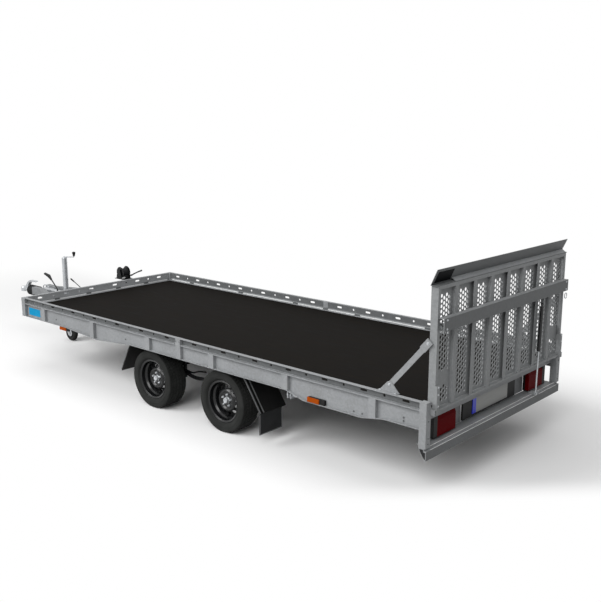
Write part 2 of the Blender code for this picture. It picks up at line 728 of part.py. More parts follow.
def mudflap(name, side):
    y = REAR_AXLE_Y - GUARD_REAR_REACH - GUARD_REAR_SLOPE
    fall = GUARD_UNDERSIDE + GUARD_SHEET - GUARD_END_HEIGHT
    drop = GUARD_SHEET * GUARD_REAR_SLOPE / hypot(GUARD_REAR_SLOPE, fall)
    top = GUARD_END_HEIGHT - drop - SEAT
    return node(name, 'rubber', [box(across(side, GUARD_OUT - FLAP_WIDTH, GUARD_OUT),
                                     (y + 0.001, y + 0.001 + FLAP_THICKNESS),
                                     (top - FLAP_LENGTH, top))])


# Wheel sections, rows of (distance from the wheel's inner face, radius)
BEAD = RIM_RADIUS - 0.0145
TYRE_BORE = BEAD / cos(pi / TYRE_SEGMENTS)
TYRE_SECTION = [
    (0.0275, TYRE_BORE), (0.0275, RIM_RADIUS + 0.001), (0.010, RIM_RADIUS + 0.004),
    (0.000, TYRE_RADIUS - 0.050), (0.004, TYRE_RADIUS - 0.028), (0.018, TYRE_RADIUS - 0.008),
    (0.038, TYRE_RADIUS), (TYRE_WIDTH - 0.038, TYRE_RADIUS),
    (TYRE_WIDTH - 0.018, TYRE_RADIUS - 0.008), (TYRE_WIDTH - 0.004, TYRE_RADIUS - 0.028),
    (TYRE_WIDTH, TYRE_RADIUS - 0.050), (TYRE_WIDTH - 0.010, RIM_RADIUS + 0.004),
    (TYRE_WIDTH - 0.0275, RIM_RADIUS + 0.001), (TYRE_WIDTH - 0.0275, TYRE_BORE),
]
HUB_FACE = TYRE_WIDTH - 0.060
# Starts at the bore's bottom, goes round the barrel and ends on the hub cap
RIM_SECTION = [
    (HUB_DEPTH + 0.038, 0), (HUB_DEPTH + 0.038, STUB_RADIUS + PIN_PLAY),
    (HUB_DEPTH, STUB_RADIUS + PIN_PLAY), (HUB_DEPTH, STUB_RADIUS + 0.025),
    (HUB_FACE - 0.014, 0.31 * BEAD), (HUB_FACE - 0.013, 0.40 * BEAD),
    (HUB_FACE + 0.003, 0.51 * BEAD), (HUB_FACE + 0.003, 0.60 * BEAD),
    (HUB_FACE - 0.015, 0.70 * BEAD), (HUB_FACE - 0.025, 0.83 * BEAD), (0.070, BEAD - 0.025),
    (0.055, BEAD - 0.007), (0.027, BEAD - 0.007), (0.016, RIM_RADIUS - 0.002),
    (0.021, RIM_RADIUS), (0.027, BEAD - PIN_PLAY), (0.060, BEAD - 0.002),
    (0.075, BEAD - 0.020), (TYRE_WIDTH - 0.075, BEAD - 0.020),
    (TYRE_WIDTH - 0.060, BEAD - 0.002), (TYRE_WIDTH - 0.027, BEAD - PIN_PLAY),
    (TYRE_WIDTH - 0.021, RIM_RADIUS), (TYRE_WIDTH - 0.016, RIM_RADIUS - 0.002),
    (TYRE_WIDTH - 0.022, BEAD - 0.006), (TYRE_WIDTH - 0.054, BEAD - 0.007),
    (HUB_FACE - 0.008, 0.81 * BEAD), (HUB_FACE - 0.008, 0.70 * BEAD),
    (HUB_FACE + 0.010, 0.595 * BEAD), (HUB_FACE + 0.010, 0.51 * BEAD),
    (HUB_FACE - 0.006, 0.39 * BEAD), (HUB_FACE - 0.006, 0.032), (HUB_FACE + 0.022, 0.030),
    (HUB_FACE + 0.028, 0.020), (HUB_FACE + 0.028, 0),
]


# One wheel turns on its own pivot at the stub
def wheel(name, side, y):
    turning = pivot(f'{name}_axis', (side * TYRE_IN, y, TYRE_RADIUS), trailer)
    centre = tuple(pivots[turning.name])
    tyre = [(side * d, r) for d, r in TYRE_SECTION]
    rim = [(side * d, r) for d, r in RIM_SECTION]
    node(f'{name}_tyre', 'rubber', [turned(tyre, 'x', centre, TYRE_SEGMENTS, closed=True)],
         parent=turning, smooth=True)
    node(f'{name}_rim', 'black_steel', [turned(rim, 'x', centre, RIM_SEGMENTS)],
         parent=turning, smooth=True)


# Coupling, along the middle: rows of (y, z)
COUPLING_Z = ARM_TOP - COUPLING_DROP
HOUSING_REAR_Y = NECK_Y - 0.030
HOUSING_FRONT_Y = GAITER_REAR_Y - 0.008
HOUSING_TOP = COUPLING_Z + 0.066
HOUSING_BOTTOM = COUPLING_Z - 0.032


def overrun_housing():
    profile = [(HOUSING_REAR_Y, HOUSING_BOTTOM + 0.015), (HOUSING_REAR_Y + 0.06, HOUSING_BOTTOM),
               (HOUSING_FRONT_Y, HOUSING_BOTTOM), (HOUSING_FRONT_Y, HOUSING_BOTTOM + 0.066),
               (HOUSING_FRONT_Y - 0.095, HOUSING_TOP), (HOUSING_REAR_Y, HOUSING_TOP)]
    half = HOUSING_WIDTH / 2
    tongue = box((-0.035, 0.035), (HOUSING_REAR_Y - 0.190, HOUSING_REAR_Y + 0.01),
                 (HOUSING_TOP - 0.045, HOUSING_TOP))
    nose = rod('y', (0, 0, COUPLING_Z), HOUSING_FRONT_Y - 0.01, GAITER_REAR_Y - SEAT, 0.040, 24)
    loop = bent_rod([(0, y, z + HOUSING_TOP) for y, z in (
        (HOUSING_REAR_Y + 0.030, -0.006), (HOUSING_REAR_Y + 0.040, 0.022),
        (HOUSING_REAR_Y + 0.075, 0.040), (HOUSING_REAR_Y + 0.125, 0.040),
        (HOUSING_REAR_Y + 0.160, 0.022), (HOUSING_REAR_Y + 0.165, -0.040))], 0.006, 8)
    return node('overrun_housing', 'zinc', [prism(profile, 'x', -half, half), tongue, nose, loop])


def gaiter():
    folds = 5
    pitch = (GAITER_FRONT_Y - GAITER_REAR_Y) / folds
    rows = [(GAITER_REAR_Y, 0)]
    for k in range(folds):
        swell = 0.047 - 0.002 * k
        start = GAITER_REAR_Y + pitch * k
        rows += [(start, swell - 0.011), (start + pitch / 2, swell)]
    rows += [(GAITER_FRONT_Y, 0.028), (GAITER_FRONT_Y, 0)]
    return node('coupling_gaiter', 'rubber', [turned(rows, 'y', (0, 0, COUPLING_Z), 20)],
                smooth=True)


# The head: a shank, a ball cup open below, and the locking handle over the gaiter
def coupling_head():
    cup_y = NOSE_Y - 0.036
    shank = rod('y', (0, 0, COUPLING_Z), GAITER_FRONT_Y + SEAT, cup_y, 0.026, 20)
    cup = turned([(-0.036, 0), (-0.036, 0.036), (0.008, 0.036), (0.024, 0.026), (0.028, 0)],
                 'z', (0, cup_y, COUPLING_Z), 24)
    handle = prism([(y + GAITER_FRONT_Y, z + COUPLING_Z) for y, z in (
        (0.010, 0.015), (0.075, 0.015), (0.060, 0.050), (0.015, 0.098), (-0.030, 0.124),
        (-0.150, 0.128), (-0.172, 0.112), (-0.040, 0.108), (-0.015, 0.085), (0.010, 0.050))],
                   'x', -0.020, 0.020)
    socket = rod('z', (0, cup_y, COUPLING_Z), -0.050, 0.004, 0.026, 24)
    return node('coupling_head', 'zinc', [shank, cup, handle], [socket])


# Hand levers: rows of (y, z) along the rod, then along the grip
def hand_lever(name, x, rod_path, grip_path, radius):
    shaft = bent_rod([(x, y, z) for y, z in rod_path], radius, 8)
    grip = bent_rod([(x, y, z) for y, z in grip_path], radius * 1.7, 8)
    return node(name, 'zinc', [shaft, grip])


def hand_levers():
    tongue_y = HOUSING_REAR_Y - 0.150
    foot = HOUSING_TOP + SEAT
    hand_lever('handbrake_lever', 0,
               [(tongue_y, foot), (tongue_y, foot + 0.02), (tongue_y + 0.135, foot + 0.135)],
               [(tongue_y + 0.125, foot + 0.122), (tongue_y + 0.160, foot + 0.168),
                (tongue_y + 0.250, foot + 0.182)], 0.008)
    brace_top = ARM_TOP - 0.012
    foot_y = MIDDLE_BRACE_Y + BRACE_DEPTH / 2
    hand_lever('brace_lever', 0,
               [(foot_y, brace_top + SEAT), (foot_y, brace_top + 0.02),
                (foot_y + 0.340, brace_top + 0.160)],
               [(foot_y + 0.330, brace_top + 0.156), (foot_y + 0.390, brace_top + 0.180)], 0.005)


FORK_UNDERSIDE = 2 * JOCKEY_RADIUS + 0.008
FORK_PLATE = 0.008
FORK_TOP = FORK_UNDERSIDE + FORK_PLATE
JOCKEY_AXIS = (JOCKEY_X, JOCKEY_Y, 0)


def jockey_stand():
    bore = JOCKEY_LEG_RADIUS + PIN_PLAY
    brace_top = ARM_TOP - 0.012
    clamp = rod('z', JOCKEY_AXIS, brace_top - BRACE_HEIGHT, brace_top,
                JOCKEY_TUBE_RADIUS + 0.008, 24)
    saddle = box((JOCKEY_X - 0.035, JOCKEY_X + 0.035), (JOCKEY_Y, JOCKEY_BRACE_Y - SEAT),
                 (brace_top - BRACE_HEIGHT, brace_top))
    node('jockey_clamp', 'zinc', [clamp, saddle],
         [rod('z', JOCKEY_AXIS, 0, 1.5, JOCKEY_TUBE_RADIUS + SEAT, 32)])
    node('jockey_tube', 'galvanised', [turned(
        [(JOCKEY_TUBE_TOP - 0.02, 0), (JOCKEY_TUBE_TOP - 0.02, bore), (JOCKEY_TUBE_BOTTOM, bore),
         (JOCKEY_TUBE_BOTTOM, JOCKEY_TUBE_RADIUS), (JOCKEY_TUBE_TOP, JOCKEY_TUBE_RADIUS),
         (JOCKEY_TUBE_TOP, 0)], 'z', JOCKEY_AXIS, 32)], smooth=True)
    crank_top = JOCKEY_TUBE_TOP + SEAT
    arm_y = JOCKEY_Y - 0.150
    node('jockey_crank', 'zinc', [
        rod('z', JOCKEY_AXIS, crank_top, crank_top + 0.022, 0.012),
        bent_rod([(JOCKEY_X, JOCKEY_Y + 0.008, crank_top + 0.010),
                  (JOCKEY_X, arm_y - 0.006, crank_top + 0.022)], 0.006, 8),
        turned([(0.014, 0), (0.014, 0.009), (0.048, 0.007), (0.062, 0.018), (0.078, 0.016),
                (0.082, 0)], 'z', (JOCKEY_X, arm_y, crank_top), 12)])

    leg = pivot('jockey_leg_axis', (JOCKEY_X, JOCKEY_Y, FORK_TOP), trailer)
    leg_top = JOCKEY_TUBE_TOP - 0.02 - JOCKEY_TRAVEL - 0.15
    node('jockey_leg', 'zinc', [turned(
        [(FORK_UNDERSIDE + 0.0005, 0), (FORK_UNDERSIDE + 0.0005, 0.008),
         (FORK_TOP + SEAT, 0.008), (FORK_TOP + SEAT, JOCKEY_LEG_RADIUS),
         (leg_top, JOCKEY_LEG_RADIUS), (leg_top, 0)], 'z', JOCKEY_AXIS, 32)],
         parent=leg, smooth=True)

    swivel = pivot('jockey_swivel_axis', (JOCKEY_X, JOCKEY_Y, FORK_TOP), leg)
    wheel_y = JOCKEY_Y - JOCKEY_TRAIL
    cheek_in = JOCKEY_WIDTH / 2 + RUN
    cheek_out = cheek_in + 0.005
    plate = box((JOCKEY_X - cheek_out, JOCKEY_X + cheek_out), (JOCKEY_Y - 0.035, JOCKEY_Y + 0.030),
                (FORK_UNDERSIDE, FORK_TOP))
    fork = [plate]
    for _, side in SIDES:
        faces = sorted((JOCKEY_X + side * cheek_in, JOCKEY_X + side * cheek_out))
        fork.append(prism([(wheel_y - 0.018, JOCKEY_RADIUS - 0.018),
                           (wheel_y + 0.018, JOCKEY_RADIUS - 0.018),
                           (JOCKEY_Y + 0.025, FORK_TOP - 0.001),
                           (JOCKEY_Y - 0.032, FORK_TOP - 0.001)], 'x', *faces))
    fork.append(rod('x', (JOCKEY_X, wheel_y, JOCKEY_RADIUS), -cheek_out - 0.006,
                    cheek_out + 0.006, 0.006))
    node('jockey_fork', 'zinc', fork, [rod('z', JOCKEY_AXIS, 0.05, 0.5, 0.0085)], parent=swivel)

    turning = pivot('jockey_wheel_axis', (JOCKEY_X, wheel_y, JOCKEY_RADIUS), swivel)
    half = JOCKEY_WIDTH / 2
    section = [(-half, 0.0065), (-half, 0.022), (-half + 0.012, 0.026),
               (-half + 0.012, JOCKEY_RADIUS - 0.038), (-half + 0.004, JOCKEY_RADIUS - 0.030),
               (-half + 0.004, JOCKEY_RADIUS - 0.012), (-half + 0.016, JOCKEY_RADIUS)]
    section += [(-d, r) for d, r in reversed(section)]
    node('jockey_wheel', 'rubber', [turned(section, 'x', tuple(pivots[turning.name]), 20,
                                           closed=True)], parent=turning, smooth=True)


def winch():
    low, high = WINCH_X
    base = RAIL_TOP + SEAT
    centre = (0, WINCH_Y, base + 0.006 + WINCH_RADIUS)
    solids = [box((low - 0.025, high + 0.025), (BED_LENGTH - CHANNEL_LIP, WINCH_Y + 0.090),
                  (base, base + 0.006)),
              box((low - 0.010, high + 0.010), (BED_LENGTH + SEAT, BED_LENGTH + 0.008),
                  (RAIL_SEAT - 0.080, base + 0.003)),
              prism([(BED_LENGTH + 0.004, RAIL_SEAT), (WINCH_Y + 0.080, base + 0.003),
                     (BED_LENGTH + 0.004, base + 0.003)], 'x', (low + high) / 2 - 0.004,
                    (low + high) / 2 + 0.004)]
    holes = []
    for face in (low, high - 0.005):
        solids.append(prism(circle(centre[1:], WINCH_RADIUS, 24), 'x', face, face + 0.005))
        solids.append(box((face, face + 0.005), (WINCH_Y - 0.045, WINCH_Y + 0.060),
                          (base + 0.003, base + 0.04)))
        holes.append(rod('x', centre, face - 0.01, face + 0.015, 0.0085))
    node('winch_frame', 'black_steel', solids, holes)
    arm_x = high + 0.035
    drum = rod('x', centre, low + 0.006, high - 0.006, 0.050, 20)
    shaft = rod('x', centre, low - 0.010, arm_x + 0.008, 0.008)
    arm = bent_rod([(arm_x, WINCH_Y + 0.008, centre[2] - 0.006),
                    (arm_x + 0.012, WINCH_Y - 0.085, centre[2] + 0.045)], 0.007, 8)
    handle = bent_rod([(arm_x - 0.002, WINCH_Y - 0.080, centre[2] + 0.040),
                       (arm_x + 0.120, WINCH_Y - 0.080, centre[2] + 0.046)], 0.009, 8)
    node('winch_drum', 'black_steel', [drum, shaft, arm, handle])


RAMP_REAR_Y = RAMP_FRONT_Y - RAMP_DEPTH
RAMP_BOTTOM = FLOOR_TOP + RAMP_FOOT
RAMP_TOP = RAMP_BOTTOM + RAMP_HEIGHT
TREAD_BACK_Y = RAMP_FRONT_Y - TREAD_SHEET - SEAT
STILE_IN = RAMP_HALF - STILE_WIDTH
COLUMNS = [BAR_PITCH * (k + 0.5) for k in range(4)]
SPRING_PIN = (SPRING_TOP[0], HINGE[1] + SPRING_TOP[1])
SPRING_FOOT = (SPRING_EYE[0], HINGE[1] + SPRING_EYE[1])


# An upright folded channel with its back at x and its open side facing the mouth's way
def channel_bar(x, mouth, width, front, heights):
    line = [(x + mouth * width, front), (x, front), (x, RAMP_REAR_Y),
            (x + mouth * width, RAMP_REAR_Y)]
    return prism(folded(line if mouth > 0 else line[::-1], SHEET), 'z', *heights)


def ramp(turning):
    split = FLOOR_TOP + ARM_SPLIT_RISE
    crossbar = FLOOR_TOP + CROSSBAR_RISE
    rail_half = RAMP_HALF - SHEET / 2
    solids = [
        box((-STILE_IN - 0.01, STILE_IN + 0.01), (HINGE_Y - 0.011, TREAD_BACK_Y),
            (RAMP_BOTTOM, RAMP_BOTTOM + 0.015)),
        box((-rail_half, rail_half), (RAMP_REAR_Y, TREAD_BACK_Y), (RAMP_TOP - 0.025, RAMP_TOP)),
        prism(folded([(RAMP_REAR_Y + 0.002, crossbar + CROSSBAR_HEIGHT),
                      (RAMP_REAR_Y - CROSSBAR_DEPTH, crossbar + CROSSBAR_HEIGHT),
                      (RAMP_REAR_Y - CROSSBAR_DEPTH, crossbar),
                      (RAMP_REAR_Y + 0.002, crossbar)], SHEET), 'x', -CROSSBAR_HALF, CROSSBAR_HALF),
    ]
    holes = []
    for _, side in SIDES:
        solids.append(channel_bar(side * RAMP_HALF, -side, STILE_WIDTH, RAMP_FRONT_Y,
                                  (RAMP_BOTTOM + 0.05, RAMP_TOP)))
        solids.append(box(across(side, STILE_IN, RAMP_HALF), (HINGE_Y - 0.020, HINGE_Y + 0.015),
                          (HINGE[1] - 0.018, split)))
        solids.append(box(across(side, COLUMNS[3] - BAR_PITCH / 2, RAMP_HALF - SHEET / 2),
                          (TREAD_BACK_Y - 0.010, TREAD_BACK_Y), (split - 0.01, split + 0.07)))
        holes.append(rod('x', (0, *HINGE), *across(side, STILE_IN - 0.01, RAMP_HALF + 0.01),
                         HINGE_PIN_RADIUS + PIN_PLAY, 16))
    for k in range(-3, 4):
        mouth = 1 if k % 2 else -1
        back = BAR_PITCH * k - mouth * BAR_WIDTH / 2
        solids.append(channel_bar(back, mouth, BAR_WIDTH, TREAD_BACK_Y,
                                  (RAMP_BOTTOM + 0.01, RAMP_TOP - 0.01)))
    lug = SPRING_X + SPRING_ROD_RADIUS + 0.0005
    y, z = SPRING_PIN
    solids.append(prism([(y - 0.012, z - 0.012), (y + 0.012, z - 0.012),
                         (y + 0.020, crossbar + SHEET / 2), (y - 0.014, crossbar + SHEET / 2)],
                        'x', lug, lug + 0.006))
    solids.append(rod('x', (0, y, z), SPRING_X - 0.008, lug + 0.003, 0.004))
    node('ramp_frame', 'galvanised', solids, holes, parent=turning)
    node('ramp_tread', 'galvanised', [
        box((-STILE_IN + SEAT, STILE_IN - SEAT), (RAMP_FRONT_Y - TREAD_SHEET, RAMP_FRONT_Y),
            (RAMP_BOTTOM + 0.02, RAMP_TOP))], parent=turning)
    blade = folded([(RAMP_REAR_Y, RAMP_TOP + SEAT), (RAMP_FRONT_Y, RAMP_TOP + SEAT),
                    (RAMP_FRONT_Y - FLAP_LEAN, RAMP_TOP + FLAP_RISE)], SHEET)
    node('ramp_flap', 'galvanised', [prism(blade, 'x', -FLAP_HALF, FLAP_HALF)], parent=turning)


# A flat bar from the rail bracket up to the ramp's side, with a clip at its top
def stay(name, side):
    turning = pivot(f'{name}_axis', (side * STAY_INNER, *STAY_PIVOT), trailer)
    foot = Vector(STAY_PIVOT)
    head = Vector((STAY_TOP_Y, RAIL_TOP + STAY_TOP_RISE))
    along = (head - foot).normalized()
    aside = Vector((-along.y, along.x)) * STAY_WIDTH / 2

    def bar(start, end, width):
        half = aside * width
        return [tuple(p) for p in (start + half, start - half, end - half, end + half)]

    strip = prism(bar(foot - along * 0.020, head + along * 0.020, 1), 'x',
                  *across(side, STAY_INNER, STAY_OUTER))
    clip = prism(bar(head - along * 0.055, head + along * 0.035, STAY_CLIP_SHARE), 'x',
                 *across(side, STAY_INNER + 0.001, STAY_OUTER + 0.007))
    eye = rod('x', (0, *STAY_PIVOT), *across(side, STAY_INNER - 0.01, STAY_OUTER + 0.01),
              STAY_PIN_RADIUS + PIN_PLAY)
    return node(name, 'zinc', [strip, clip], [eye], parent=turning)


# Gas spring: the tube hangs on the ramp's lug, the rod's eye stands beside the bumper's lug
def lift_spring(turning):
    top = Vector((SPRING_X, *SPRING_PIN))
    foot = Vector((SPRING_X, *SPRING_FOOT))
    along = (foot - top).normalized()
    eye = (SPRING_X - SPRING_ROD_RADIUS, SPRING_X + SPRING_ROD_RADIUS)
    tube = pivot('spring_tube_axis', top, turning)
    tube_end = 0.018 + SPRING_TUBE_LENGTH
    node('spring_tube', 'black_steel', [
        rod('x', (0, *SPRING_PIN), *eye, 0.011, 16),
        bent_rod([top + along * 0.008, top + along * 0.024], SPRING_ROD_RADIUS - 0.001, 12),
        bent_rod([top + along * 0.018, top + along * tube_end], SPRING_TUBE_RADIUS, 16)],
         [rod('x', (0, *SPRING_PIN), eye[0] - 0.01, eye[1] + 0.01, 0.0045),
          bent_rod([top + along * 0.030, top + along * (tube_end + 0.01)],
                   SPRING_ROD_RADIUS + 0.001, 12)], parent=tube)
    sliding = pivot('spring_rod_axis', foot, tube)
    node('spring_rod', 'zinc', [
        bent_rod([top + along * (tube_end - 0.010), foot], SPRING_ROD_RADIUS, 12),
        rod('x', (0, *SPRING_FOOT), *eye, 0.011, 16),
        rod('x', (0, *SPRING_FOOT), eye[1] - 0.001, SPRING_LUG_X - SEAT, 0.005)],
         parent=sliding)


for side_name, way in SIDES:
    side_beam(f'side_beam_{side_name}', way)
    side_rail(f'rail_{side_name}', way)
    lamp(f'lamp_{side_name}', way)
    mudguard(f'mudguard_{side_name}', way)
    mudflap(f'mudflap_{side_name}', way)
    stay(f'stay_{side_name}', way)
    for marker_name, marker_y, marker_way in MARKERS:
        side_marker(f'marker_{marker_name}_{side_name}', way, marker_y, marker_way)
    for axle_name, axle_y in AXLES:
        wheel(f'wheel_{axle_name}_{side_name}', way, axle_y)

for axle_name, axle_y in AXLES:
    axle(f'axle_{axle_name}', axle_y)

front_beam()
front_rail()
floor_panel()
chassis_frame()
drawbar()
rear_frame()
number_plate()
overrun_housing()
gaiter()
coupling_head()
hand_levers()
jockey_stand()
winch()

ramp_axis = pivot('ramp_axis', (0, *HINGE), trailer)
ramp(ramp_axis)
lift_spring(ramp_axis)
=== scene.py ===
# Car hauler trailer with a raised loading ramp, on a pale studio floor.
# Metres: +X is the trailer's right, +Y runs forward to the coupling, +Z is up.
import math
import random

import bmesh
import bpy
from mathutils import Matrix, Vector


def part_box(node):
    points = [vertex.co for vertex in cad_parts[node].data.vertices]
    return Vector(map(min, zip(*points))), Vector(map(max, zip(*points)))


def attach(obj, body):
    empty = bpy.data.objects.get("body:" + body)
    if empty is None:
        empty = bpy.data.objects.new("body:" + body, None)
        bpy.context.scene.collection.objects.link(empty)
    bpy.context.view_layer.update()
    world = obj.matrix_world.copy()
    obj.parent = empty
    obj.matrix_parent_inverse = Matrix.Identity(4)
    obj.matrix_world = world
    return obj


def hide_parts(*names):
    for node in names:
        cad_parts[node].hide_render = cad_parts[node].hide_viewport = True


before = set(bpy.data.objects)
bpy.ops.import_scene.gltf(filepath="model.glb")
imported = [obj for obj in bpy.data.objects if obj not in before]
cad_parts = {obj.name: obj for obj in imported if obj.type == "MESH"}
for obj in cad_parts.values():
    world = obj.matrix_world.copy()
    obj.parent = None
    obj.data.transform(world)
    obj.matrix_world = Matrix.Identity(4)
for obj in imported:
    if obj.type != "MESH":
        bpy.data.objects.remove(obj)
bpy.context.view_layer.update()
random.seed(7)
print("frame loaded:", len(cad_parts), "nodes")

bedRear = -3.359        # the bed's rear edge in this frame, from which most pieces below are measured
sidePlaces = {"left": -1, "right": 1}


# Colours, nodes and materials

def linear(hexColour):
    parts = [int(hexColour[i:i + 2], 16) / 255 for i in (1, 3, 5)]
    return tuple(p / 12.92 if p <= 0.04045 else ((p + 0.055) / 1.055) ** 2.4 for p in parts) + (1.0,)


def addNode(tree, kind, settings=None, inputs=None, stops=None, feeds=None):
    # One node with its settings, its values or links in, its colour stops, and its link out to a socket.
    made = tree.nodes.new(kind)
    for key, value in (settings or {}).items():
        setattr(made, key, value)
    for socket, value in (inputs or {}).items():
        if isinstance(value, bpy.types.NodeSocket):
            tree.links.new(value, made.inputs[socket])
        else:
            made.inputs[socket].default_value = value
    if stops:
        stripes = made.color_ramp.elements
        stripes[0].position, stripes[0].color = stops[0][0], linear(stops[0][1])
        stripes[1].position, stripes[1].color = stops[-1][0], linear(stops[-1][1])
        for position, colour in stops[1:-1]:
            stripes.new(position).color = linear(colour)
    if feeds:
        tree.links.new(made.outputs[feeds[0]], feeds[1])
    return made


def perMetre(millimetres):
    return 1000 / millimetres       # pattern scale for a feature of that size


def metres(*points):
    return [tuple(value / 1000 for value in point) for point in points]     # from millimetres


def newMaterial(name, look):
    # Gives back the material, its tree and shader, the object's own place, and the socket for the relief's height.
    made = bpy.data.materials.new(name)
    made.use_nodes = True
    tree = made.node_tree
    shader = tree.nodes["Principled BSDF"]
    for socket, key, usual in (("Metallic", "metallic", 0.0), ("Roughness", "roughness", 0.5),
                               ("Specular IOR Level", "specular", 0.5)):
        shader.inputs[socket].default_value = look.get(key, usual)
    place = addNode(tree, "ShaderNodeTexCoord").outputs["Object"]
    if "bump" not in look:
        return made, tree, shader, place, None
    relief = addNode(tree, "ShaderNodeBump", {}, {"Strength": look["bump"], "Distance": look["bumpDeep"]},
                     feeds=("Normal", shader.inputs["Normal"]))
    return made, tree, shader, place, relief.inputs["Height"]


# Hot-dip galvanised steel: a dull light grey skin with faint cloudy spangle, duller where it has weathered.
galvanisedLook = {
    "spangleMm": 14, "cloudMm": 220, "grainMm": 3, "spangleShare": 0.35, "tonesAt": (0.3, 0.5, 0.7),
    "rough": (0.48, 0.62), "bump": 0.05, "bumpDeep": 0.001, "specular": 0.22, "metallic": 0.12,
}


def galvanisedSteel(name, *tones, **changes):
    look = {**galvanisedLook, **changes}
    made, tree, shader, place, relief = newMaterial(name, look)
    spangle = addNode(tree, "ShaderNodeTexVoronoi", {"feature": "F1"},
                      {"Vector": place, "Scale": perMetre(look["spangleMm"]), "Randomness": 1.0})
    cloud = addNode(tree, "ShaderNodeTexNoise", {},
                    {"Vector": place, "Scale": perMetre(look["cloudMm"]), "Detail": 4.0, "Roughness": 0.6})
    both = addNode(tree, "ShaderNodeMix", {"data_type": "FLOAT"},
                   {"Factor": look["spangleShare"], "A": cloud.outputs["Fac"], "B": spangle.outputs["Color"]})
    addNode(tree, "ShaderNodeValToRGB", {}, {"Fac": both.outputs["Result"]}, list(zip(look["tonesAt"], tones)),
            ("Color", shader.inputs["Base Color"]))
    addNode(tree, "ShaderNodeMapRange", {},
            {"Value": both.outputs["Result"], "From Min": look["tonesAt"][0], "From Max": look["tonesAt"][-1],
             "To Min": look["rough"][0], "To Max": look["rough"][1]}, feeds=("Result", shader.inputs["Roughness"]))
    addNode(tree, "ShaderNodeTexNoise", {}, {"Vector": place, "Scale": perMetre(look["grainMm"]), "Detail": 2.0},
            feeds=("Fac", relief))
    return made


galvanised = galvanisedSteel("galvanisedSheet", "#868889", "#8d8f91", "#949698")
# Lit and shaded copies of the galvanised skin: the ramp's is darker, with painted shade, and the front rail's is
# lighter, with painted light.
galvanisedRampPaintedShade = galvanisedSteel("galvanisedRampPaintedShade", "#808283", "#868889", "#8c8e8f")
galvanisedFrontPaintedLight = galvanisedSteel("frontRailPaintedLight", "#929495", "#989a9c", "#9ea0a2")
# A much darker copy of the galvanised skin, with shade painted into its colour: on the ramp's flap, the crossbar's and
# bumper's rear faces and the side rails' webs, and also on the floor clamps and frame bolts.
galvanisedPaintedShade = galvanisedSteel("galvanisedPaintedShade", "#5c5e5f", "#626465", "#686a6b")
# The chassis and drawbar are dipped in one piece, so their skin is a shade duller.
galvanisedFrame = galvanisedSteel("galvanisedChassis", "#76787a", "#7e8082", "#868889")
# Bright zinc plating on bolts, the hub caps and the coupling: smoother and more mirror-like than the dipped steel.
zinc = galvanisedSteel("brightZinc", "#a2a5a8", "#b4b7ba", "#c6c9cc", spangleMm=6, cloudMm=60, rough=(0.26, 0.38),
                       specular=0.5, metallic=0.55)
# A pale, almost white strip finish: painted light standing for the light seen through the gap between floor and rails,
# and painted highlights on the bumper's edges.
paintedLightStrip = galvanisedSteel("paintedLightFinish", "#cfd0d0", "#d8d9d9", "#e0e1e1", spangleMm=30, rough=(0.35, 0.45),
                            specular=0.4, metallic=0.1)

# Phenolic film-faced birch plywood: a near-black brown resin film, satin, with the veneer's grain showing through.
plywoodLook = {
    "tones": ((0.32, "#0d0c0b"), (0.52, "#13110f"), (0.72, "#1f1c19")), "grainMm": 312, "stretch": 11.0, "netMm": 5,
    "roughAt": (0.3, 0.7), "rough": (0.62, 0.78), "bump": 0.12, "bumpDeep": 0.0008, "specular": 0.02,
}


def filmFacedPlywood(look):
    made, tree, shader, place, relief = newMaterial("filmFacedPlywood", look)
    along = addNode(tree, "ShaderNodeMapping", {}, {"Vector": place, "Scale": (look["stretch"], 1.0, 1.0)})
    grain = addNode(tree, "ShaderNodeTexNoise", {},
                    {"Vector": along.outputs["Vector"], "Scale": perMetre(look["grainMm"]), "Detail": 7.0,
                     "Roughness": 0.62, "Distortion": 0.6}).outputs["Fac"]
    addNode(tree, "ShaderNodeValToRGB", {}, {"Fac": grain}, look["tones"], ("Color", shader.inputs["Base Color"]))
    addNode(tree, "ShaderNodeTexVoronoi", {"feature": "DISTANCE_TO_EDGE"},
            {"Vector": place, "Scale": perMetre(look["netMm"])}, feeds=("Distance", relief))
    (fromLow, fromHigh), (toLow, toHigh) = look["roughAt"], look["rough"]
    addNode(tree, "ShaderNodeMapRange", {},
            {"Value": grain, "From Min": fromLow, "From Max": fromHigh, "To Min": toLow, "To Max": toHigh},
            feeds=("Result", shader.inputs["Roughness"]))
    return made


plywood = filmFacedPlywood(plywoodLook)

mouldedLook = {"cloudMm": 120, "tonesAt": (0.35, 0.65), "bumpDeep": 0.0006}


def mouldedFinish(name, dark, light, roughness, grainMm, bump, specular=0.5):
    look = {**mouldedLook, "roughness": roughness, "bump": bump, "specular": specular}
    made, tree, shader, place, relief = newMaterial(name, look)
    cloud = addNode(tree, "ShaderNodeTexNoise", {},
                    {"Vector": place, "Scale": perMetre(look["cloudMm"]), "Detail": 5.0})
    addNode(tree, "ShaderNodeValToRGB", {}, {"Fac": cloud.outputs["Fac"]},
            list(zip(look["tonesAt"], (dark, light))), ("Color", shader.inputs["Base Color"]))
    addNode(tree, "ShaderNodeTexNoise", {}, {"Vector": place, "Scale": perMetre(grainMm), "Detail": 3.0},
            feeds=("Fac", relief))
    return made


# Tyre rubber: matt carbon-black compound with a trace of dust.
tyreRubber = mouldedFinish("tyreRubber", "#222322", "#2b2c2b", 0.8, 4, 0.25, 0.15)
# Semi-gloss black powder coat on the wheels and the axle arms: orange-peel ripple, soft highlight.
powderCoat = mouldedFinish("blackPowderCoat", "#0a0b0c", "#101112", 0.24, 7, 0.08, 0.38)
# Vacuum-formed black polyethylene mudguards and housings: low sheen, fine leathery grain.
blackPlastic = mouldedFinish("formedBlackPlastic", "#101010", "#171717", 0.55, 3, 0.22, 0.2)
# The guards' raised ridges are greyer, with painted highlights in their colour.
ridgePaintedHighlight = mouldedFinish("ridgePaintedHighlight", "#2e2f30", "#3a3b3c", 0.45, 3, 0.1)
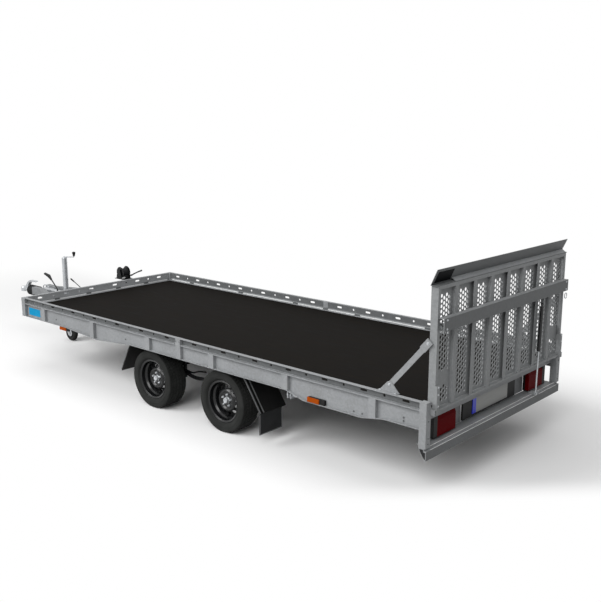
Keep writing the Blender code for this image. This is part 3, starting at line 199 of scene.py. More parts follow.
# Sheet rubber mudflaps: greyer than the guards and quite dull, with pale grey piping round them.
flapRubber = mouldedFinish("flapRubber", "#1c1d1e", "#262728", 0.7, 5, 0.3, 0.2)
greyPiping = mouldedFinish("greyPiping", "#6d6e6f", "#7a7b7c", 0.55, 4, 0.1)
# Printed vinyl: plain sky blue on the side, plain black on the ramp's flap.
blueVinyl = mouldedFinish("blueVinyl", "#0f86b4", "#148fbd", 0.5, 6, 0.02, 0.08)
blackVinyl = mouldedFinish("blackVinyl", "#08090a", "#0c0d0f", 0.5, 6, 0.02, 0.03)

# Acrylic lamp lenses: deep red and amber plastic with moulded ribs behind a satin face.
wavesPerUnit = 3.2      # the wave texture repeats about this often in a unit
lensLook = {"roughness": 0.35, "specular": 0.015, "ribMm": 9, "bump": 0.35, "bumpDeep": 0.001}


def lampLens(name, colour):
    made, tree, shader, place, relief = newMaterial(name, lensLook)
    shader.inputs["Base Color"].default_value = linear(colour)
    addNode(tree, "ShaderNodeTexWave", {"wave_type": "BANDS", "bands_direction": "Z"},
            {"Vector": place, "Scale": perMetre(lensLook["ribMm"]) / wavesPerUnit, "Distortion": 0.0},
            feeds=("Fac", relief))
    return made


redLens = lampLens("redAcrylicLens", "#5c0307")
amberLens = lampLens("amberAcrylicLens", "#9a440f")

# Reflective aluminium number plate: blank pale film with a plain blue band at its left end.
plateLook = {"film": "#8f908e", "band": "#1c2fd0", "bandEdge": -0.212, "roughness": 0.28, "beadMm": 4, "bump": 0.05,
             "bumpDeep": 0.0005}


def reflectivePlate(look):
    made, tree, shader, place, relief = newMaterial("reflectivePlateFilm", look)
    across = addNode(tree, "ShaderNodeSeparateXYZ", {}, {"Vector": place})
    inBand = addNode(tree, "ShaderNodeMath", {"operation": "LESS_THAN"}, {0: across.outputs["X"], 1: look["bandEdge"]})
    addNode(tree, "ShaderNodeMix", {"data_type": "RGBA"},
            {"Factor": inBand.outputs["Value"], 6: linear(look["film"]), 7: linear(look["band"])},
            feeds=(2, shader.inputs["Base Color"]))
    addNode(tree, "ShaderNodeTexVoronoi", {"feature": "F1"}, {"Vector": place, "Scale": perMetre(look["beadMm"])},
            feeds=("Distance", relief))
    return made


plateFilm = reflectivePlate(plateLook)
print("materials ready")

# Finishes on the CAD nodes that stay
nodeFinishes = {
    galvanised: ["front_beam", "stay_left", "stay_right"],
    # The ramp's frame and flap get darker skins that carry painted shade.
    galvanisedRampPaintedShade: ["ramp_frame"],
    galvanisedPaintedShade: ["ramp_flap"],
    galvanisedFrame: ["chassis_frame", "drawbar"],
    zinc: ["spring_rod", "coupling_head", "overrun_housing", "jockey_clamp", "jockey_tube", "jockey_leg",
           "jockey_fork"],
    plywood: ["floor_panel"],
    powderCoat: ["axle_front", "axle_rear", "spring_tube", "brace_lever", "handbrake_lever"],
    blackPlastic: ["mudguard_left", "mudguard_right", "lamp_left_housing", "lamp_right_housing", "plate_holder",
                   "coupling_gaiter"],
    flapRubber: ["mudflap_left", "mudflap_right"],
    tyreRubber: ["jockey_wheel"],
    redLens: ["lamp_left_lens", "lamp_right_lens"],
    plateFilm: ["number_plate"],
}
for finish, names in nodeFinishes.items():
    for name in names:
        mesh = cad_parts[name].data
        mesh.materials.clear()
        mesh.materials.append(finish)
print("CAD nodes finished")


# Mesh helpers

def inScene(name, data):
    made = bpy.data.objects.new(name, data)
    bpy.context.scene.collection.objects.link(made)
    return made


def meshFrom(name, work):
    bmesh.ops.remove_doubles(work, verts=work.verts, dist=1e-6)
    bmesh.ops.recalc_face_normals(work, faces=work.faces)
    mesh = bpy.data.meshes.new(name)
    work.to_mesh(mesh)
    work.free()
    return mesh


def addPiece(name, shape, material, body, smooth=35, inBed=True):
    # A bmesh is measured from the bed's rear edge, unless inBed is off. A finished mesh is already in its place.
    if isinstance(shape, bmesh.types.BMesh):
        if inBed:
            bmesh.ops.translate(shape, vec=(0, bedRear, 0), verts=shape.verts)
        shape = meshFrom(name, shape)
    if smooth:
        shape.shade_smooth()
        shape.set_sharp_from_angle(angle=math.radians(smooth))
    made = inScene(name, shape)
    shape.materials.clear()
    shape.materials.append(material)
    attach(made, body)
    return made


def applied(made, *modifiers):
    # Each modifier is (kind, settings). The result is kept as plain mesh.
    for kind, settings in modifiers:
        modifier = made.modifiers.new(kind.lower(), kind)
        for key, value in settings.items():
            setattr(modifier, key, value)
    mesh = bpy.data.meshes.new_from_object(made.evaluated_get(bpy.context.evaluated_depsgraph_get()))
    old = made.data
    made.modifiers.clear()
    made.data = mesh
    bpy.data.meshes.remove(old)
    return made


def bevelled(made, width, angle):
    settings = {"width": width, "segments": 2, "limit_method": "ANGLE", "angle_limit": math.radians(angle)}
    applied(made, ("BEVEL", settings))


def onCircle(radius, share):
    # The point at a share of a full turn.
    return radius * math.cos(math.tau * share), radius * math.sin(math.tau * share)


def flip(way, point):
    return way * point[0], point[1], point[2]


def join(work, other):
    kept = {v: work.verts.new(v.co) for v in other.verts}
    for face in other.faces:
        work.faces.new([kept[v] for v in face.verts])
    other.free()


def facing(direction, centre):
    # Local X points along the direction.
    return Matrix.Translation(Vector(centre)) @ Vector(direction).to_track_quat("X", "Z").to_matrix().to_4x4()


def addLathe(work, profile, steps, matrix=Matrix.Identity(4), closed=False):
    # The profile is (distance along the axis, radius) and turns round local X.
    rings = [[work.verts.new(matrix @ Vector((along, *onCircle(radius, i / steps)))) for along, radius in profile]
             for i in range(steps)]
    count = len(profile)
    for here, there in zip(rings, rings[1:] + rings[:1]):
        for j in range(count if closed else count - 1):
            k = (j + 1) % count
            unique = []
            for corner in (here[j], here[k], there[k], there[j]):
                if all((corner.co - other.co).length > 1e-7 for other in unique):
                    unique.append(corner)
            if len(unique) > 2:
                work.faces.new(unique)


def addBox(work, xs, ys, zs, bevel=0.0, way=1, matrix=Matrix.Identity(4), segments=2):
    # A block between two values on each axis. Way -1 mirrors it to the left side.
    block = bmesh.new()
    bmesh.ops.create_cube(block, size=1.0)
    spans = [sorted(way * x for x in xs), ys, zs]
    size, middle = [high - low for low, high in spans], [(high + low) / 2 for low, high in spans]
    bmesh.ops.transform(block, matrix=Matrix.Translation(middle) @ Matrix.Diagonal((*size, 1.0)), verts=block.verts)
    if bevel:
        bmesh.ops.bevel(block, geom=block.edges[:], offset=bevel, segments=segments, affect="EDGES", profile=0.7)
    bmesh.ops.transform(block, matrix=matrix, verts=block.verts)
    join(work, block)


def addPrism(work, outline, axis, low, high, way=1):
    # The outline is in the two other axes, in XYZ order, and may be concave. Way -1 mirrors the two ends.
    ends = []
    for value in (low, high) if way > 0 else (-high, -low):
        corners = []
        for point in outline:
            point = list(point)
            point.insert("xyz".index(axis), value)
            corners.append(work.verts.new(point))
        ends.append(corners)
    work.faces.new(ends[0])
    work.faces.new(list(reversed(ends[1])))
    for i in range(len(outline)):
        j = (i + 1) % len(outline)
        work.faces.new((ends[0][i], ends[1][i], ends[1][j], ends[0][j]))


def addSheet(work, outlines, thickness):
    # A flat sheet in XZ: the first outline is its edge, the others are openings.
    edges = []
    for outline in outlines:
        ring = [work.verts.new((x, 0, z)) for x, z in outline]
        edges += [work.edges.new((ring[i], ring[(i + 1) % len(ring)])) for i in range(len(ring))]
    bmesh.ops.triangle_fill(work, use_beauty=True, use_dissolve=False, edges=edges, normal=(0, 1, 0))
    shell = bmesh.ops.extrude_face_region(work, geom=work.faces[:])
    moved = [g for g in shell["geom"] if isinstance(g, bmesh.types.BMVert)]
    bmesh.ops.translate(work, vec=(0, thickness, 0), verts=moved)


# Bolts, as shares of the head's corner radius
boltLook = {"washerWide": 1.35, "washerTop": 1.25, "washerEdge": 0.16, "washerHigh": 0.24, "shoulder": 0.62,
            "headHigh": 0.78, "headTop": 0.82}


def addBolt(work, centre, direction, size=0.008, washer=True):
    # A hexagon head with chamfered corners on a washer, seated on the surface at its centre.
    turn = facing(direction, centre)
    s = {key: size * value for key, value in boltLook.items()}
    if washer:
        addLathe(work, [(0, 0.0), (0, s["washerWide"]), (s["washerEdge"], s["washerWide"]),
                        (s["washerHigh"], s["washerTop"]), (s["washerHigh"], 0.0)], 20, turn)
    head = bmesh.new()
    base = s["washerHigh"] if washer else 0.0
    addLathe(head, [(base, 0.0), (base, size), (base + s["shoulder"], size), (base + s["headHigh"], s["headTop"]),
                    (base + s["headHigh"], 0.0)], 6, turn)
    join(work, head)


def addTube(work, path, radius, steps=12, capped=True):
    # A round bar along a list of points, with its rings square to the path.
    points = [Vector(p) for p in path]
    rings = []
    side = None
    for i, point in enumerate(points):
        ahead = (points[min(i + 1, len(points) - 1)] - points[max(i - 1, 0)]).normalized()
        if side is None:
            side = ahead.orthogonal().normalized()
        side = (side - ahead * side.dot(ahead)).normalized()
        up = ahead.cross(side)
        width = radius[i] if isinstance(radius, (list, tuple)) else radius
        turns = [onCircle(width, k / steps) for k in range(steps)]
        rings.append([work.verts.new(point + side * a + up * b) for a, b in turns])
    for here, there in zip(rings, rings[1:]):
        for k in range(steps):
            work.faces.new((here[k], here[(k + 1) % steps], there[(k + 1) % steps], there[k]))
    if capped:
        work.faces.new(rings[0])
        work.faces.new(list(reversed(rings[-1])))


def roundedPath(points, radius, steps=6):
    # Rounds the inner corners of a path.
    corners = [Vector(p) for p in points]
    path = [corners[0]]
    for before, corner, after in zip(corners, corners[1:], corners[2:]):
        back, ahead = (before - corner), (after - corner)
        reach = min(radius, back.length * 0.45, ahead.length * 0.45)
        start, end = corner + back.normalized() * reach, corner + ahead.normalized() * reach
        for i in range(steps + 1):
            t = i / steps
            path.append((1 - t) ** 2 * start + 2 * t * (1 - t) * corner + t * t * end)
    path.append(corners[-1])
    return path


# Wheels: black steel rims with slotted discs, and car tyres

wheelLook = {
    "width": 0.195, "radius": 0.2675, "steps": 180, "grooves": (-0.052, -0.018, 0.018, 0.052), "grooveHalf": 0.0045,
    "grooveDeep": 0.0065, "ribs": (-0.084, -0.076, -0.062, -0.035, 0.0, 0.035, 0.062, 0.076, 0.084),
    "halfTread": 0.0975, "crown": 0.0028, "slant": 3.2, "sipeEvery": 3, "sipeDeep": 0.004,
    "rim": 0.183, "slots": 12, "perSlot": 8, "slotBand": (0.1035, 0.13), "discSheet": 0.004,
    "boltCircle": 0.049, "bolts": 5, "boltTurn": 0.25, "boltSeat": 0.1255, "valve": (0.112, 0.0, -0.139),
    "valveLean": (1.0, 0.0, 0.25),
    "washer": metres((0, 0), (0, 9.8), (3, 9.8), (4.5, 8.8), (4.5, 0)),
    "head": metres((4, 0), (4, 8.5), (12.5, 8.5), (14.5, 6.8), (14.5, 0)),
    "hubcap": metres((112, 0), (112, 27.5), (122.5, 28.5), (127.5, 28.5), (130, 26.2), (137.5, 25), (145.5, 23.8),
        (149.2, 21.5), (150.5, 18.5), (149, 15), (147.8, 0)),
    "stem": metres((0, 0), (0, 6.8), (6, 6.2), (12, 4.2), (26, 3.8), (26.5, 4.6), (36, 4.6), (37.5, 4), (37.5, 0)),
    # distance from the inner sidewall, and radius past the rim, from bead to shoulder
    "sidewall": metres((27.5, -13), (26.5, -4), (24, 1.5), (19, 3.5), (12.5, 7.5), (9.5, 12.5), (9.2, 14.5), (6.2, 15),
        (4, 21), (1.5, 30), (0.3, 37), (0, 42), (1.4, 45.5), (0.8, 53), (1, 62), (2.2, 70), (4.5, 76.5), (8.5, 81.2)),
    # the tyre's inside, so that its beads close within the rim
    "inside": metres((27.5, 168), (30, 190), (20, 215), (16, 240), (45, 252), (150, 252), (179, 240), (175, 215),
        (165, 190), (167.5, 168)),
    # radius, and how far the disc's outer face stands from the inner sidewall
    "disc": metres((30, 121), (36, 121.5), (41, 126), (60, 126.5), (68, 130), (75, 138.5), (83, 140.5), (91, 137),
        (100, 127.5), (112, 116.5), (124, 109), (136, 105), (147.5, 100), (158, 88)),
    "discRings": (0.03, 0.0345, 0.039, 0.044, 0.052, 0.06, 0.066, 0.072, 0.079, 0.087, 0.095, 0.1035, 0.109, 0.117,
                  0.1245, 0.13, 0.137, 0.1445, 0.151, 0.158),
    # the rolled barrel, 4 mm thick: positive distances from the inner sidewall, negative from the outer one
    "barrel": metres((-16, -4.5), (-15, -2), (-16.5, 0.2), (-19.5, 0.6), (-21.5, -1), (-23.5, -8), (-26.5, -14.2),
        (-33, -15.2), (-56, -16.8), (-62, -19.5), (-70, -30), (-76, -34.5), (80, -34.5), (72, -32), (62, -19.5),
        (56, -16.8), (31, -15.2), (25.5, -14.2), (22.5, -8), (20.5, -1), (18.5, 0.6), (16, 0.2), (15, -2),
        (15.5, -4.5), (19.5, -10), (23, -18), (30, -19.2), (56, -20.8), (64, -24), (74, -36.5), (80, -38.5),
        (-76, -38.5), (-68, -34.5), (-60, -23.5), (-54, -20.8), (-29, -19.2), (-22.5, -18), (-18.5, -10)),
}


def tyreProfile():
    # Points are (distance from the inner sidewall, radius, tread weight), round the outside from bead to bead.
    look = wheelLook
    width, grooveHalf = look["width"], look["grooveHalf"]
    half = [(x, look["rim"] + past) for x, past in look["sidewall"]]
    stations = list(look["ribs"])
    for groove in look["grooves"]:
        stations += [groove + grooveHalf * share for share in (-1, -0.62, 0.62, 1)]
    tread = []
    for x in sorted(stations):
        crown = look["radius"] - (abs(x) / look["halfTread"]) ** 4 * look["crown"]
        inGroove = any(abs(x - g) < grooveHalf * 0.7 for g in look["grooves"])
        tread.append((width / 2 + x, crown - (look["grooveDeep"] if inGroove else 0.0), 0.0 if inGroove else 1.0))
    return [(x, r, 0.0) for x, r in half] + tread + [(width - x, r, 0.0) for x, r in reversed(half)]


def buildTyre():
    # Blocks come from a cross cut sunk every few steps, slanted towards the shoulders.
    work = bmesh.new()
    look, profile = wheelLook, tyreProfile()
    steps = look["steps"]
    rings = []
    for i in range(steps):
        ring = []
        for x, radius, weight in profile:
            slant = (x - look["width"] / 2) * look["slant"] / look["halfTread"]
            sunk = look["sipeDeep"] * weight if i % look["sipeEvery"] == 0 else 0.0
            ring.append(work.verts.new((x, *onCircle(radius - sunk, (i + slant * 0.5) / steps))))
        rings.append(ring)
    for here, there in zip(rings, rings[1:] + rings[:1]):
        for j in range(len(profile) - 1):
            work.faces.new((here[j], here[j + 1], there[j + 1], there[j]))
    addLathe(work, look["inside"], steps // 3)
    return meshFrom("tyreMesh", work)


def discHeight(radius):
    shape = wheelLook["disc"]
    for (r0, h0), (r1, h1) in zip(shape, shape[1:]):
        if radius <= r1:
            t = (radius - r0) / (r1 - r0)
            return h0 + (h1 - h0) * t * t * (3 - 2 * t)
    return shape[-1][1]


def buildDisc():
    # A pressed disc: dished bolt face, raised ring, and a row of slots cut through its outer slope.
    work = bmesh.new()
    radii, perSlot = wheelLook["discRings"], wheelLook["perSlot"]
    steps = wheelLook["slots"] * perSlot
    grid = [[work.verts.new((discHeight(radius), *onCircle(radius, k / steps))) for k in range(steps)]
            for radius in radii]
    for row in range(len(radii) - 1):
        inBand = wheelLook["slotBand"][0] < (radii[row] + radii[row + 1]) / 2 < wheelLook["slotBand"][1]
        for k in range(steps):
            if inBand and 2 <= k % perSlot <= 5:
                continue
            n = (k + 1) % steps
            work.faces.new((grid[row][k], grid[row][n], grid[row + 1][n], grid[row + 1][k]))
    # Subdivision rounds the slots, and the sheet gets its thickness.
    made = inScene("discWork", meshFrom("discMesh", work))
    applied(made, ("SUBSURF", {"levels": 1, "render_levels": 1}),
            ("SOLIDIFY", {"thickness": wheelLook["discSheet"], "offset": -1.0}))
    mesh = made.data
    bpy.data.objects.remove(made)
    return mesh


def buildRim():
    work = bmesh.new()
    section = [(x if x > 0 else wheelLook["width"] + x, wheelLook["rim"] + past) for x, past in wheelLook["barrel"]]
    addLathe(work, section, 96, closed=True)
    return meshFrom("rimMesh", work)


def buildWheelBits():
    # Bolts, hub cap and valve, on the disc's outer side.
    bolts, cap, valve = bmesh.new(), bmesh.new(), bmesh.new()
    for k in range(wheelLook["bolts"]):
        seat = onCircle(wheelLook["boltCircle"], (k + wheelLook["boltTurn"]) / wheelLook["bolts"])
        turn = facing((1, 0, 0), (wheelLook["boltSeat"], *seat))
        addLathe(bolts, wheelLook["washer"], 20, turn)
        head = bmesh.new()
        addLathe(head, wheelLook["head"], 6, turn)
        join(bolts, head)
    addLathe(cap, wheelLook["hubcap"], 40)
    addLathe(valve, wheelLook["stem"], 16, facing(wheelLook["valveLean"], wheelLook["valve"]))
    return meshFrom("wheelBoltMesh", bolts), meshFrom("hubCapMesh", cap), meshFrom("valveMesh", valve)


tyreMesh, rimMesh, discMesh = buildTyre(), buildRim(), buildDisc()
boltMesh, capMesh, valveMesh = buildWheelBits()
wheelParts = (("tyre", tyreMesh, tyreRubber, "tyre"), ("rim", rimMesh, powderCoat, "black_steel"),
              ("disc", discMesh, powderCoat, "black_steel"), ("bolts", boltMesh, zinc, "zinc"),
              ("hubcap", capMesh, zinc, "zinc"), ("valve", valveMesh, tyreRubber, "rubber"))
for axle in ("front", "rear"):
    for side, way in sidePlaces.items():
        body = f"wheel_{axle}_{side}"
        low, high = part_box(f"{body}_tyre")
        middle = (low + high) / 2
        place = (Matrix.Translation((middle.x - way * wheelLook["width"] / 2, middle.y, middle.z))
                 @ Matrix.Diagonal((way, 1.0, 1.0, 1.0)) @ Matrix.Rotation(random.uniform(-0.25, 0.25), 4, "X"))
        for kind, source, finish, slot in wheelParts:
            mesh = source.copy()
            mesh.transform(place)
            if way < 0:
                mesh.flip_normals()
            made = addPiece(f"{body}_{kind}_look", mesh, finish, body, 32)
            if kind == "tyre":
                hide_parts(f"{body}_tyre")
            if kind == "rim":
                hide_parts(f"{body}_rim")
print("wheels built")


# Ramp tread: sheet with staggered round holes, in eight panels between the bars

treadLook = {
    "hole": 0.0138, "corners": 12, "across": 0.0303, "up": 0.035, "perPanel": 5,
    "panels": (0.1175, 0.3525, 0.5875, 0.8225), "bottom": 0.735, "top": 1.498,
    "solidBand": (0.838, 0.936), "set": 0.026,
}


def buildTread():
    look = treadLook
    low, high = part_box("ramp_tread")
    outlines = [[(low.x, low.z), (high.x, low.z), (high.x, high.z), (low.x, high.z)]]
    for centre in [c * s for c in look["panels"] for s in (-1, 1)]:
        for column in range(look["perPanel"]):
            x = centre + (column - (look["perPanel"] - 1) / 2) * look["across"]
            for row in range(int((look["top"] - look["bottom"]) / look["up"])):
                z = look["bottom"] + (row + 0.5 * (column % 2)) * look["up"]
                if abs(centre) > 0.8 and look["solidBand"][0] < z < look["solidBand"][1]:
                    continue
                turns = [onCircle(look["hole"], c / look["corners"]) for c in range(look["corners"])]
                outlines.append([(x + a, z + b) for a, b in turns])
    work = bmesh.new()
    addSheet(work, outlines, low.y - high.y)
    bmesh.ops.translate(work, vec=(0, high.y - look["set"], 0), verts=work.verts)
    return work


# The tread's darker skin carries painted shade.
tread = addPiece("ramp_tread_look", buildTread(), galvanisedRampPaintedShade, "ramp", 30, inBed=False)
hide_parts("ramp_tread")
print("ramp tread built:", len(tread.data.polygons))


# Side beams: folded channels with an arched lower edge over the wheels, pressed ribs and the strip that holds the floor

beamLook = {
    "in": 0.966, "out": 1.0, "sheet": 0.004, "ends": (0.0573, 4.9897), "ribs": (0.45, 1.28, 2.11, 2.95, 3.8, 4.65),
    "ribHalf": 0.031, "ribOut": 0.9985, "middle": 2.525, "middleHalf": 0.0305, "strip": (0.93, 0.6653, 0.6693),
    "bevel": 0.0012, "edge": [(0.0573, 0.555), (0.35, 0.555), (0.55, 0.52), (1.09, 0.52), (1.27, 0.565), (3.2, 0.565),
                              (3.72, 0.522), (4.25, 0.555), (4.9897, 0.555)],
}


def beamEdge(y):
    for (y0, z0), (y1, z1) in zip(beamLook["edge"], beamLook["edge"][1:]):
        if y <= y1:
            return z0 + (z1 - z0) * (y - y0) / (y1 - y0)
    return beamLook["edge"][-1][1]


def buildSideBeam(way, top):
    # Built in its place at once, because the bevel that follows depends on the corners' exact order and rounding.
    look, work = beamLook, bmesh.new()
    sheet = look["sheet"]
    inner, web, outer, ribOut = (way * x for x in (look["in"], look["in"] + sheet, look["out"], look["ribOut"]))
    edge = [(y + bedRear, z) for y, z in look["edge"]]
    start, end = (y + bedRear for y in look["ends"])
    addPrism(work, edge + [(end, top), (start, top)], "x", inner, web)
    addPrism(work, edge + [(y, z + sheet) for y, z in reversed(edge)], "x", web, outer)
    addPrism(work, [(start, top - sheet), (end, top - sheet), (end, top), (start, top)], "x", web, outer)
    ribs = [(centre - look["ribHalf"], centre + look["ribHalf"]) for centre in look["ribs"]]
    for rear, front in ribs + [(look["middle"] - look["middleHalf"], look["middle"] + look["middleHalf"])]:
        knees = [rear] + [y for y, z in look["edge"] if rear < y < front] + [front]
        lower = [(y + bedRear, beamEdge(y) + sheet) for y in knees]
        addPrism(work, lower + [(front + bedRear, top - sheet), (rear + bedRear, top - sheet)], "x", web, ribOut)
    strip, low, high = look["strip"]
    addPrism(work, [(start, low), (end, low), (end, high), (start, high)], "x", way * strip, inner)
    return work


for side, way in sidePlaces.items():
    low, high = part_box(f"side_beam_{side}")
    made = addPiece(f"side_beam_{side}_look", buildSideBeam(way, high.z), galvanised, "chassis", 0,
                    inBed=False)
    bevelled(made, beamLook["bevel"], 40)
    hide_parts(f"side_beam_{side}")
print("side beams built")


# Pale strips between floor and rails that carry painted light, with the clamps, and the side sticker

trimLook = {
    "heights": (0.6696, 0.6785), "front": (5.011, 5.014), "half": 0.925, "side": (0.962, 0.965),
    "sideRun": (0.1, 4.964),
    "clampHalf": 0.03, "clampHeights": (0.6696, 0.686), "clampFront": (5.005, 5.0108), "clampSide": (0.952, 0.9618),
    "frontClamps": (-0.6, -0.2, 0.2, 0.6), "sideClamps": (0.45, 1.28, 2.11, 2.525, 2.94, 3.77, 4.6), "bevel": 0.001,
}
trim, clamps = bmesh.new(), bmesh.new()
addBox(trim, (-trimLook["half"], trimLook["half"]), trimLook["front"], trimLook["heights"])
for x in trimLook["frontClamps"]:
    addBox(clamps, (x - trimLook["clampHalf"], x + trimLook["clampHalf"]), trimLook["clampFront"],
           trimLook["clampHeights"], trimLook["bevel"])
for way in (-1, 1):
    addBox(trim, trimLook["side"], trimLook["sideRun"], trimLook["heights"], way=way)
    for y in trimLook["sideClamps"]:
        addBox(clamps, trimLook["clampSide"], (y - trimLook["clampHalf"], y + trimLook["clampHalf"]),
               trimLook["clampHeights"], trimLook["bevel"], way)
# Painted light: pale strips where light shows through the gap under the rails.
addPiece("floor_gap_painted_light_look", trim, paintedLightStrip, "chassis", 0)
addPiece("floor_clamps_look", clamps, galvanisedPaintedShade, "chassis", 0)

stickerLook = {"faces": (-0.9712, -0.9703), "along": (4.748, 4.958), "heights": (0.575, 0.652)}
sticker = bmesh.new()
addBox(sticker, stickerLook["faces"], stickerLook["along"], stickerLook["heights"])
addPiece("side_sticker_look", sticker, blueVinyl, "chassis", smooth=0)


# Ramp flap: a plain black label at its left end, and a folded strip along its foot

flapLook = {
    "foot": (0.035, 1.5303), "top": (-0.015, 1.64), "label": ((-0.925, -0.735), (0.0046, 0.0056), (0.018, 0.1)),
    "fold": ((-0.019, 1.5306), (-0.016, 1.5306), (0.026, 1.556), (0.0235, 1.5585)), "foldRun": (-0.72, 0.945),
}
foot, top = Vector((0, *flapLook["foot"])), Vector((0, *flapLook["top"]))
up = (top - foot).normalized()
lean = Matrix.Translation(foot) @ Matrix(((1, 0, 0), (0, -up.z, up.y), (0, up.y, up.z))).to_4x4()
label, fold = bmesh.new(), bmesh.new()
addBox(label, *flapLook["label"], matrix=lean)
addPiece("ramp_label_look", label, blackVinyl, "ramp", smooth=0)
addPrism(fold, flapLook["fold"], "x", *flapLook["foldRun"])
addPiece("ramp_fold_look", fold, galvanised, "ramp", 0)


# Side markers: amber lens in a black holder, the rear one inside the beam's channel

markerLook = {
    "rear": {"lens": ((0.972, 1.0), (0.935, 1.05), (0.5255, 0.562)),
             "holder": ((0.971, 0.992), (0.885, 1.04), (0.5245, 0.564))},
    "front": {"lens": ((0.97, 0.996), (4.25, 4.36), (0.5185, 0.55)),
              "holder": ((0.969, 0.988), (4.212, 4.35), (0.5175, 0.552))},
    "lensBevel": 0.004, "holderBevel": 0.002,
}
for side, way in sidePlaces.items():
    for name in ("rear", "front"):
        lens, holder = bmesh.new(), bmesh.new()
        addBox(lens, *markerLook[name]["lens"], markerLook["lensBevel"], way, segments=3)
        addBox(holder, *markerLook[name]["holder"], markerLook["holderBevel"], way)
        made = addPiece(f"marker_{name}_{side}_look", lens, amberLens, "chassis")
        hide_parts(f"marker_{name}_{side}")
        addPiece(f"marker_{name}_{side}_holder_look", holder, blackPlastic, "chassis")
print("stickers, labels and markers built")


# Rear frame: posts, sill, hinge ears and a folded bumper whose ends are cut on a slant

rearLook = {
    "sheet": 0.0045, "face": -0.004, "step": 0.014, "back": 0.105, "bottom": 0.347, "top": 0.413, "ledge": 0.43,
    "fold": 0.03, "endIn": 0.945, "post": ((0.945, 1.0), (0.0, 0.057), (0.4305, 0.75)),
    "ear": ((0.945, 0.955), (-0.033, 0.01), (0.66, 0.7)), "pin": (0.907, -0.015, 0.68), "pinSize": (0.043, 0.008),
    "brackets": ((0.28, 0.37), (0.58, 0.8)), "bracketAt": ((0.1002, 0.105), (0.428, 0.6095)),
    "endFoot": ((-0.004, 0.348), (0.01, 0.356), (0.046, 0.404), (0.056, 0.43)),
    "sillHalf": 0.9657, "lugRun": (0.5388, 0.5438),
    "hollow": ((0.001, 0.356), (0.01, 0.362), (0.041, 0.405), (0.049, 0.424), (0.018, 0.424), (0.017, 0.407),
               (0.001, 0.406)),
    "sill": ((0.045, 0.5997), (0.13, 0.5997), (0.13, 0.6467), (0.057, 0.6467), (0.057, 0.665), (0.045, 0.665)),
    "lug": ((-0.047, 0.44), (-0.02, 0.432), (0.06, 0.431), (0.052, 0.436), (-0.023, 0.464), (-0.047, 0.464)),
    "closer": ((0.3925, 0.1065), (0.56, 0.1065), (0.56, 0.128), (0.557, 0.128), (0.557, 0.1095), (0.3955, 0.1095),
               (0.3955, 0.128), (0.3925, 0.128)), "closerHeights": (0.4312, 0.5985),
    "bevel": 0.001, "endRun": (0.9448, 0.999), "hollowRun": (0.9991, 0.9999),
    "skin": ((-0.997, 0.997), (-0.0046, -0.0041), (0.349, 0.41)), "edgeRun": (-0.944, 0.944),
    "edgeRoll": ((-0.0012, 0.003), (-0.0014, 0.0012)),
}


def buildRearFrame():
    look, work, hollow = rearLook, bmesh.new(), bmesh.new()
    sheet, face, step, top, ledge = (look[key] for key in ("sheet", "face", "step", "top", "ledge"))
    folded = [(face, look["bottom"]), (face, top), (step, top), (step, ledge), (look["back"], ledge),
              (look["back"], ledge - sheet), (step + sheet, ledge - sheet), (step + sheet, top - sheet),
              (face + sheet, top - sheet), (face + sheet, look["bottom"] + sheet),
              (look["fold"], look["bottom"] + sheet), (look["fold"], look["bottom"])]
    addPrism(work, folded, "x", -look["endIn"], look["endIn"])
    for way in (-1, 1):
        cut = [*look["endFoot"], (step, ledge), (step, top), (face, top)]
        addPrism(work, cut, "x", *look["endRun"], way)
        addPrism(hollow, look["hollow"], "x", *look["hollowRun"], way)
        addBox(work, *look["post"], way=way)
        addBox(work, *look["ear"], 0.002, way)
        for xs in look["brackets"]:
            addBox(work, xs, *look["bracketAt"], way=way)
    addPrism(work, look["sill"], "x", -look["sillHalf"], look["sillHalf"])
    addPrism(work, look["lug"], "x", *look["lugRun"])
    return work, hollow


def buildRearTrim():
    # Hinge pins, a darker skin on the bumper's face that carries painted shade, and pale strips along its top edges
    # that carry painted highlights.
    look, pins, skin, edges = rearLook, bmesh.new(), bmesh.new(), bmesh.new()
    length, radius = look["pinSize"]
    for way in (-1, 1):
        addLathe(pins, [(0, 0.0), (0, radius), (length, radius), (length, 0.0)], 24,
                 facing((way, 0, 0), flip(way, look["pin"])))
    addBox(skin, *look["skin"])
    for y, z in ((look["face"], look["top"]), (look["step"], look["ledge"])):
        (back, ahead), (down, up) = look["edgeRoll"]
        addBox(edges, look["edgeRun"], (y + back, y + ahead), (z + down, z + up))
    return pins, skin, edges


rearFrame, hollow = buildRearFrame()
pins, skin, edges = buildRearTrim()
made = addPiece("rear_frame_look", rearFrame, galvanised, "chassis", 0)
bevelled(made, rearLook["bevel"], 35)
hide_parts("rear_frame")
addPiece("hinge_pins_look", pins, zinc, "chassis")
# Painted shade: a darker skin over the bumper's rear face.
addPiece("bumper_face_painted_shade_look", skin, galvanisedPaintedShade, "chassis", 0)
# Painted highlights: two pale strips along the bumper's top edges.
addPiece("bumper_painted_highlights_look", edges, paintedLightStrip, "chassis", 0)
# Painted shade: a dark sheet just inside each open end of the bumper stands for the shadow in its hollow.
addPiece("bumper_ends_painted_shade_look", hollow, flapRubber, "chassis", smooth=0)
closers = bmesh.new()
for way in (-1, 1):
    addPrism(closers, [(way * x, y) for x, y in rearLook["closer"]], "z", *rearLook["closerHeights"])
addPiece("lamp_brackets_look", closers, galvanisedFrame, "chassis", 0)


# Mudguards: two moulded ridges on the rear slope and one on the front, with piping round the mudflaps

